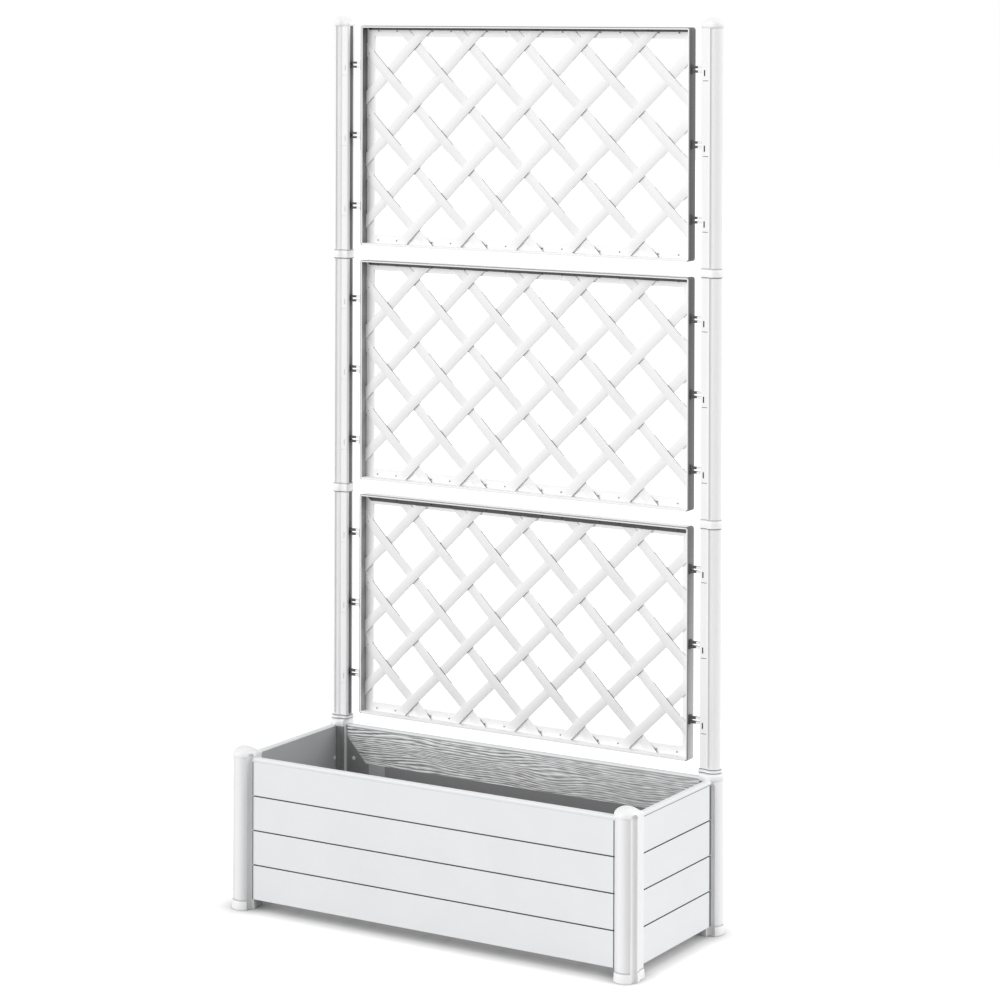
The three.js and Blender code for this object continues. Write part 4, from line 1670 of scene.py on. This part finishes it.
    def nails(self, tier: Tier, low: Vector, high: Vector) -> bpy.types.Object:
        """Nail heads where the slats end on the border, in pairs beside each crossing column and row.

        Args:
            tier: Which tier.
            low: Lowest corner of the CAD panel.
            high: Its highest corner.

        Returns:
            The object.
        """
        face = high.y - self.plate + self.sunk - self.slat_thick
        inset = self.nail_inset
        spots: list[Point] = []
        for x in self.nail_line(low.x, high.x, self.pitch_x):
            spots += [(x, face, low.z + inset), (x, face, high.z - inset)]
        for z in self.nail_line(low.z, high.z, self.pitch_z):
            spots += [(low.x + inset, face, z), (high.x - inset, face, z)]
        mesh = bpy.data.meshes.new(f"nails_{tier.word}")
        mesh.from_pydata(spots, [], [])
        piece = link_object(f"nails_{tier.word}", mesh)
        feed(piece, nail_tree(), {"Radius": self.nail, "Material": self.finishes.nail})
        apply_modifiers(piece)
        return piece

    def nail_line(self, low: float, high: float, pitch: float) -> list[float]:
        """Places of the nail heads along one direction, in pairs beside every second crossing.

        Args:
            low: Where the panel starts.
            high: Where it ends.
            pitch: Distance of the crossings.

        Returns:
            The places.
        """
        middle, half = (low + high) / 2, (high - low) / 2
        count = int(half / pitch)
        crossings = [middle + i * pitch for i in range(-count, count + 1) if i % 2]
        places = [at + aside for at in crossings for aside in (-self.nail_aside, self.nail_aside)]
        return [place for place in places if abs(place - middle) < half - 2 * self.nail_inset]


def feed(piece: bpy.types.Object, tree: bpy.types.NodeTree, values: dict) -> None:
    """Put a Geometry Nodes modifier on a piece and set its named inputs.

    Args:
        piece: The object.
        tree: The node group.
        values: Input name to value.
    """
    modifier = piece.modifiers.new(tree.name, "NODES")
    modifier.node_group = tree
    for item in tree.interface.items_tree:
        if item.item_type == "SOCKET" and item.in_out == "INPUT" and item.name in values:
            modifier[item.identifier] = values[item.name]


def new_tree(name: str, inputs: Sequence[tuple[str, str]]) -> tuple[bpy.types.NodeTree, bpy.types.Node]:
    """Start a Geometry Nodes group with its geometry sockets and named inputs.

    Args:
        name: The group's name.
        inputs: Name and socket type of each input after the geometry.

    Returns:
        The group and its input node.
    """
    tree = bpy.data.node_groups.new(name, "GeometryNodeTree")
    tree.interface.new_socket("Geometry", in_out="INPUT", socket_type="NodeSocketGeometry")
    tree.interface.new_socket("Geometry", in_out="OUTPUT", socket_type="NodeSocketGeometry")
    for label, kind in inputs:
        tree.interface.new_socket(label, in_out="INPUT", socket_type=kind)
    return tree, tree.nodes.new("NodeGroupInput")


def weave_tree() -> bpy.types.NodeTree:
    """Geometry Nodes group that weaves two layers of slats about the origin.

    Each slat is a swept strip whose depth follows a cosine of its place across. So it lies in front at every
    second crossing and behind at the ones between, and the other layer has the opposite swing.

    Returns:
        The group.
    """
    name = "woven_slats"
    if name in bpy.data.node_groups:
        return bpy.data.node_groups[name]
    sizes = ("Pitch Across", "Pitch Up", "Half Span", "Slat Width", "Slat Thickness", "Weave")
    others = [("Slats", "NodeSocketInt"), ("Material", "NodeSocketMaterial")]
    tree, given = new_tree(name, [*((size, "NodeSocketFloat") for size in sizes), *others])
    out = given.outputs
    fillet, stations = 0.7 * MM, 96
    beyond = 1.05  # how far the slats run past the panel, before they are trimmed
    steeper = 1.15  # how much steeper than a cosine the swing is, which leaves its tops flat
    profile = add_node(
        tree,
        "GeometryNodeCurvePrimitiveQuadrilateral",
        {"Width": out["Slat Thickness"], "Height": out["Slat Width"]},
        mode="RECTANGLE",
    )
    eased = add_node(
        tree,
        "GeometryNodeFilletCurve",
        {"Curve": profile.outputs["Curve"], "Radius": fillet, "Count": 2, "Limit Radius": True},
        mode="POLY",
    )
    layers = []
    for lean in (1.0, -1.0):
        far = add_node(tree, MATH, {0: out["Half Span"], 1: beyond}, operation="MULTIPLY").outputs[0]
        slope = add_node(tree, MATH, {0: out["Pitch Up"], 1: out["Pitch Across"]}, operation="DIVIDE")
        rise = add_node(tree, MATH, {0: far, 1: slope.outputs[0]}, operation="MULTIPLY").outputs[0]
        up = add_node(tree, MATH, {0: rise, 1: lean}, operation="MULTIPLY").outputs[0]
        low_x = add_node(tree, MATH, {0: far, 1: -1.0}, operation="MULTIPLY").outputs[0]
        low_z = add_node(tree, MATH, {0: up, 1: -1.0}, operation="MULTIPLY").outputs[0]
        start = add_node(tree, "ShaderNodeCombineXYZ", {"X": low_x, "Z": low_z}).outputs[0]
        stop = add_node(tree, "ShaderNodeCombineXYZ", {"X": far, "Z": up}).outputs[0]
        line = add_node(tree, "GeometryNodeCurvePrimitiveLine", {"Start": start, "End": stop})
        fine = add_node(tree, "GeometryNodeResampleCurve", {"Curve": line.outputs[0], "Count": stations})
        here = add_node(tree, "GeometryNodeInputPosition").outputs[0]
        across = add_node(tree, "ShaderNodeSeparateXYZ", {0: here}).outputs["X"]
        turns = add_node(tree, MATH, {0: across, 1: out["Pitch Across"]}, operation="DIVIDE").outputs[0]
        angle = add_node(tree, MATH, {0: turns, 1: math.pi}, operation="MULTIPLY").outputs[0]
        wave = add_node(tree, MATH, {0: angle}, operation="COSINE").outputs[0]
        steep = add_node(tree, MATH, {0: wave, 1: steeper}, operation="MULTIPLY").outputs[0]
        flat = add_node(tree, "ShaderNodeClamp", {"Value": steep, "Min": -1.0, "Max": 1.0}).outputs[0]
        swing = add_node(tree, MATH, {0: flat, 1: out["Weave"]}, operation="MULTIPLY").outputs[0]
        depth = add_node(tree, MATH, {0: swing, 1: -lean}, operation="MULTIPLY").outputs[0]
        offset = add_node(tree, "ShaderNodeCombineXYZ", {"Y": depth}).outputs[0]
        woven = add_node(tree, "GeometryNodeSetPosition", {"Geometry": fine.outputs[0], "Offset": offset})
        upright = add_node(
            tree,
            "GeometryNodeSetCurveNormal",
            {"Curve": woven.outputs[0], "Normal": (0.0, 1.0, 0.0)},
            mode="FREE",
        )
        strip = add_node(
            tree,
            "GeometryNodeCurveToMesh",
            {"Curve": upright.outputs[0], "Profile Curve": eased.outputs[0], "Fill Caps": True},
        )
        step = add_node(tree, MATH, {0: out["Pitch Up"], 1: 2.0}, operation="MULTIPLY").outputs[0]
        gap_count = add_node(tree, MATH, {0: out["Slats"], 1: -1.0}, operation="ADD").outputs[0]
        first = add_node(tree, MATH, {0: gap_count, 1: out["Pitch Up"]}, operation="MULTIPLY").outputs[0]
        lowest = add_node(tree, MATH, {0: first, 1: -1.0}, operation="MULTIPLY").outputs[0]
        begin = add_node(tree, "ShaderNodeCombineXYZ", {"Z": lowest}).outputs[0]
        offset_up = add_node(tree, "ShaderNodeCombineXYZ", {"Z": step}).outputs[0]
        places = add_node(
            tree,
            "GeometryNodeMeshLine",
            {"Count": out["Slats"], "Start Location": begin, "Offset": offset_up},
        )
        copies = add_node(
            tree, "GeometryNodeInstanceOnPoints", {"Points": places.outputs[0], "Instance": strip.outputs[0]}
        )
        layers.append(copies.outputs[0])
    joined = add_node(tree, "GeometryNodeJoinGeometry")
    for layer in layers:
        tree.links.new(layer, joined.inputs[0])
    real = add_node(tree, "GeometryNodeRealizeInstances", {"Geometry": joined.outputs[0]})
    dressed = add_node(
        tree, "GeometryNodeSetMaterial", {"Geometry": real.outputs[0], "Material": out["Material"]}
    )
    add_node(tree, "NodeGroupOutput", {0: dressed.outputs[0]})
    return tree


def nail_tree() -> bpy.types.NodeTree:
    """Geometry Nodes group that sets a low domed nail head, facing the front, on every point.

    Returns:
        The group.
    """
    name = "nail_heads"
    if name in bpy.data.node_groups:
        return bpy.data.node_groups[name]
    tree, given = new_tree(name, [("Radius", "NodeSocketFloat"), ("Material", "NodeSocketMaterial")])
    ball = add_node(
        tree, "GeometryNodeMeshUVSphere", {"Segments": 12, "Rings": 8, "Radius": given.outputs["Radius"]}
    )
    head = add_node(
        tree, "GeometryNodeTransform", {"Geometry": ball.outputs["Mesh"], "Scale": (1.0, 0.7, 1.0)}
    )
    points = add_node(tree, "GeometryNodeMeshToPoints", {"Mesh": given.outputs["Geometry"]})
    heads = add_node(
        tree, "GeometryNodeInstanceOnPoints", {"Points": points.outputs[0], "Instance": head.outputs[0]}
    )
    real = add_node(tree, "GeometryNodeRealizeInstances", {"Geometry": heads.outputs[0]})
    smooth = add_node(tree, "GeometryNodeSetShadeSmooth", {"Geometry": real.outputs[0]})
    dressed = add_node(
        tree,
        "GeometryNodeSetMaterial",
        {"Geometry": smooth.outputs[0], "Material": given.outputs["Material"]},
    )
    add_node(tree, "NodeGroupOutput", {0: dressed.outputs[0]})
    return tree


@dataclass
class Clips:
    """Clips between the panels and the trellis posts.

    Attributes:
        finishes: The materials.
        edge: Rounding of their edges.
        dark: Share of a clip's visible length that takes painted shade, from its left end.
    """

    finishes: Finishes
    edge: float = 0.6 * MM
    dark: float = 0.6

    def build(self) -> None:
        """Make all of them."""
        for tier in Tier:
            for side in Side:
                for i in CLIP_ROWS:
                    node = f"clip_{tier.word}_{side.word}_{i}"
                    clip = copy_of_node(node, f"clip_smooth_{tier.word}_{side.word}_{i}")
                    round_edges(clip, self.edge)
                    self.paint(clip, side, tier)
                    dress(clip, self.finishes.clip, "clip_resin", node)

    def paint(self, clip: bpy.types.Object, side: Side, tier: Tier) -> None:
        """Paint shade on the left part of what shows of a clip between the frame and the post.

        Args:
            clip: The clip.
            side: The side it is on.
            tier: The tier it is on.
        """
        low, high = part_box(f"trellis_panel_{tier.word}")
        frame_edge = low.x if side is Side.LEFT else high.x
        post_edge = rail_stand(side).x - side.value * RAIL.reach
        start, stop = sorted((frame_edge, post_edge))
        border = start + self.dark * (stop - start)
        work = bmesh.new()
        work.from_mesh(clip.data)
        cut_at(work, (border, 0, 0), (1, 0, 0))
        layer = work.faces.layers.float.new(SHADE)
        for face in work.faces:
            face[layer] = 1.0 if face.calc_center_median().x < border else 0.0
        work.to_mesh(clip.data)
        work.free()


# ---- studio --------------------------------------------------------------------------------------


def looked_at(tree: bpy.types.NodeTree) -> bpy.types.NodeSocket:
    """Add the test for what the camera or a glossy surface sees, as against what only lights other things.

    Args:
        tree: The node tree that gets it.

    Returns:
        An output of 1 for what is seen.
    """
    path = add_node(tree, "ShaderNodeLightPath").outputs
    rays = {0: path["Is Camera Ray"], 1: path["Is Glossy Ray"]}
    return add_node(tree, MATH, rays, operation="MAXIMUM").outputs[0]


@dataclass(frozen=True)
class Lamp:
    """A broad, soft lamp.

    Attributes:
        name: Its name.
        azimuth: Direction it shines from, in degrees to the right of the front.
        height: How high it stands, in degrees.
        strength: Its strength.
        spread: How wide it looks, in degrees.
    """

    name: str
    azimuth: float
    height: float
    strength: float
    spread: float = 50.0


@dataclass
class Studio:
    """Pale floor and backdrop, soft light and the camera.

    Attributes:
        eye: The camera's place.
        turn: How far it is turned to the left from looking along +Y, in radians.
        dip: How far it looks down, in radians.
        roll: How far it leans, in radians.
        focal: Focal length in image widths.
        middle: Where the straight view meets the picture, in shares of its width from its top left corner.
        floor_size: Half the floor's width.
        bounce: sRGB colour of the floor as it lights the planter.
        contact: Reach of the ambient occlusion that paints shade on the floor near the planter.
        floor_glow: How much the floor shines by itself where the camera sees it.
        lamps: One from the front left, one from the right and behind.
        surround: Strength of the even light from all round.
    """

    eye: Point = (3.4087, -5.4872, 1.9471)
    turn: float = 0.544
    dip: float = 0.006
    roll: float = 0.003
    focal: float = 3.0136
    middle: Pair = (0.5131, 0.0312)
    floor_size: float = 30.0
    bounce: str = "#bcbcbc"
    contact: float = 50 * MM
    floor_glow: float = 0.3
    lamps: tuple[Lamp, ...] = (Lamp("key", -30, 15, 1.9), Lamp("side", 113, 25, 1.72))
    surround: float = 0.55

    def build(self) -> None:
        """Make the camera, the floor, the lamps and the world."""
        self.camera()
        self.floor()
        self.light()
        self.world()

    def camera(self) -> None:
        """Camera at the photograph's viewing angle: level, with its picture shifted down."""
        data = bpy.data.cameras.new("camera")
        data.sensor_width = 36.0
        data.lens = self.focal * data.sensor_width
        data.shift_x = 0.5 - self.middle[0]
        data.shift_y = self.middle[1] - 0.5
        data.clip_end = 100.0
        camera = bpy.data.objects.new("camera", data)
        camera.location = self.eye
        camera.rotation_euler = Euler((math.pi / 2 - self.dip, -self.roll, self.turn))
        bpy.context.scene.collection.objects.link(camera)
        bpy.context.scene.camera = camera

    def floor(self) -> None:
        """Plain pale floor, far larger than the view, with contact shade painted from ambient occlusion."""
        work = bmesh.new()
        bmesh.ops.create_grid(work, x_segments=1, y_segments=1, size=self.floor_size)
        floor = settle(work, "floor")
        material = bpy.data.materials.new("pale_floor")
        material.use_nodes = True
        tree = material.node_tree
        tree.nodes.clear()
        bounce = add_node(tree, "ShaderNodeBsdfDiffuse", {"Color": linear(self.bounce)})
        near = {"Color": linear("#ffffff"), "Distance": self.contact}
        # Painted contact shade: ambient occlusion darkens the floor's colour and glow near the planter.
        contact = add_node(tree, "ShaderNodeAmbientOcclusion", near, samples=8).outputs["Color"]
        paint = add_node(tree, "ShaderNodeBsdfDiffuse", {"Color": contact})
        glow = add_node(tree, "ShaderNodeEmission", {"Color": contact, "Strength": self.floor_glow})
        white = add_node(tree, "ShaderNodeAddShader", {0: paint.outputs[0], 1: glow.outputs[0]})
        blend = {0: looked_at(tree), 1: bounce.outputs[0], 2: white.outputs[0]}
        mix = add_node(tree, "ShaderNodeMixShader", blend)
        add_node(tree, "ShaderNodeOutputMaterial", {"Surface": mix.outputs[0]})
        floor.data.materials.append(material)

    def light(self) -> None:
        """Set the lamps up."""
        for lamp in self.lamps:
            data = bpy.data.lights.new(lamp.name, "SUN")
            data.energy = lamp.strength
            data.angle = math.radians(lamp.spread)
            made = bpy.data.objects.new(lamp.name, data)
            made.rotation_euler = Euler((math.radians(90 - lamp.height), 0.0, math.radians(lamp.azimuth)))
            bpy.context.scene.collection.objects.link(made)

    def world(self) -> None:
        """Even pale surroundings, white where the camera or a glossy surface looks past the floor."""
        world = bpy.data.worlds.new("studio")
        bpy.context.scene.world = world
        world.use_nodes = True
        tree = world.node_tree
        tree.nodes.clear()
        pure = linear("#ffffff")
        light = add_node(tree, "ShaderNodeBackground", {"Color": pure, "Strength": self.surround})
        white = add_node(tree, "ShaderNodeBackground", {"Color": pure, "Strength": 1.0})
        blend = {0: looked_at(tree), 1: light.outputs[0], 2: white.outputs[0]}
        mix = add_node(tree, "ShaderNodeMixShader", blend)
        add_node(tree, "ShaderNodeOutputWorld", {"Surface": mix.outputs[0]})


def main() -> None:
    """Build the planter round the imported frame, and the studio round the planter."""
    logging.basicConfig(level=logging.INFO, format="%(message)s")
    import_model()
    bpy.context.scene.view_settings.view_transform = "Standard"
    finishes = Finishes()
    Trough(finishes).build()
    TrellisPosts(finishes).build()
    TrellisPanels(finishes).build()
    Clips(finishes).build()
    Studio().build()


if __name__ == "__main__":
    main()
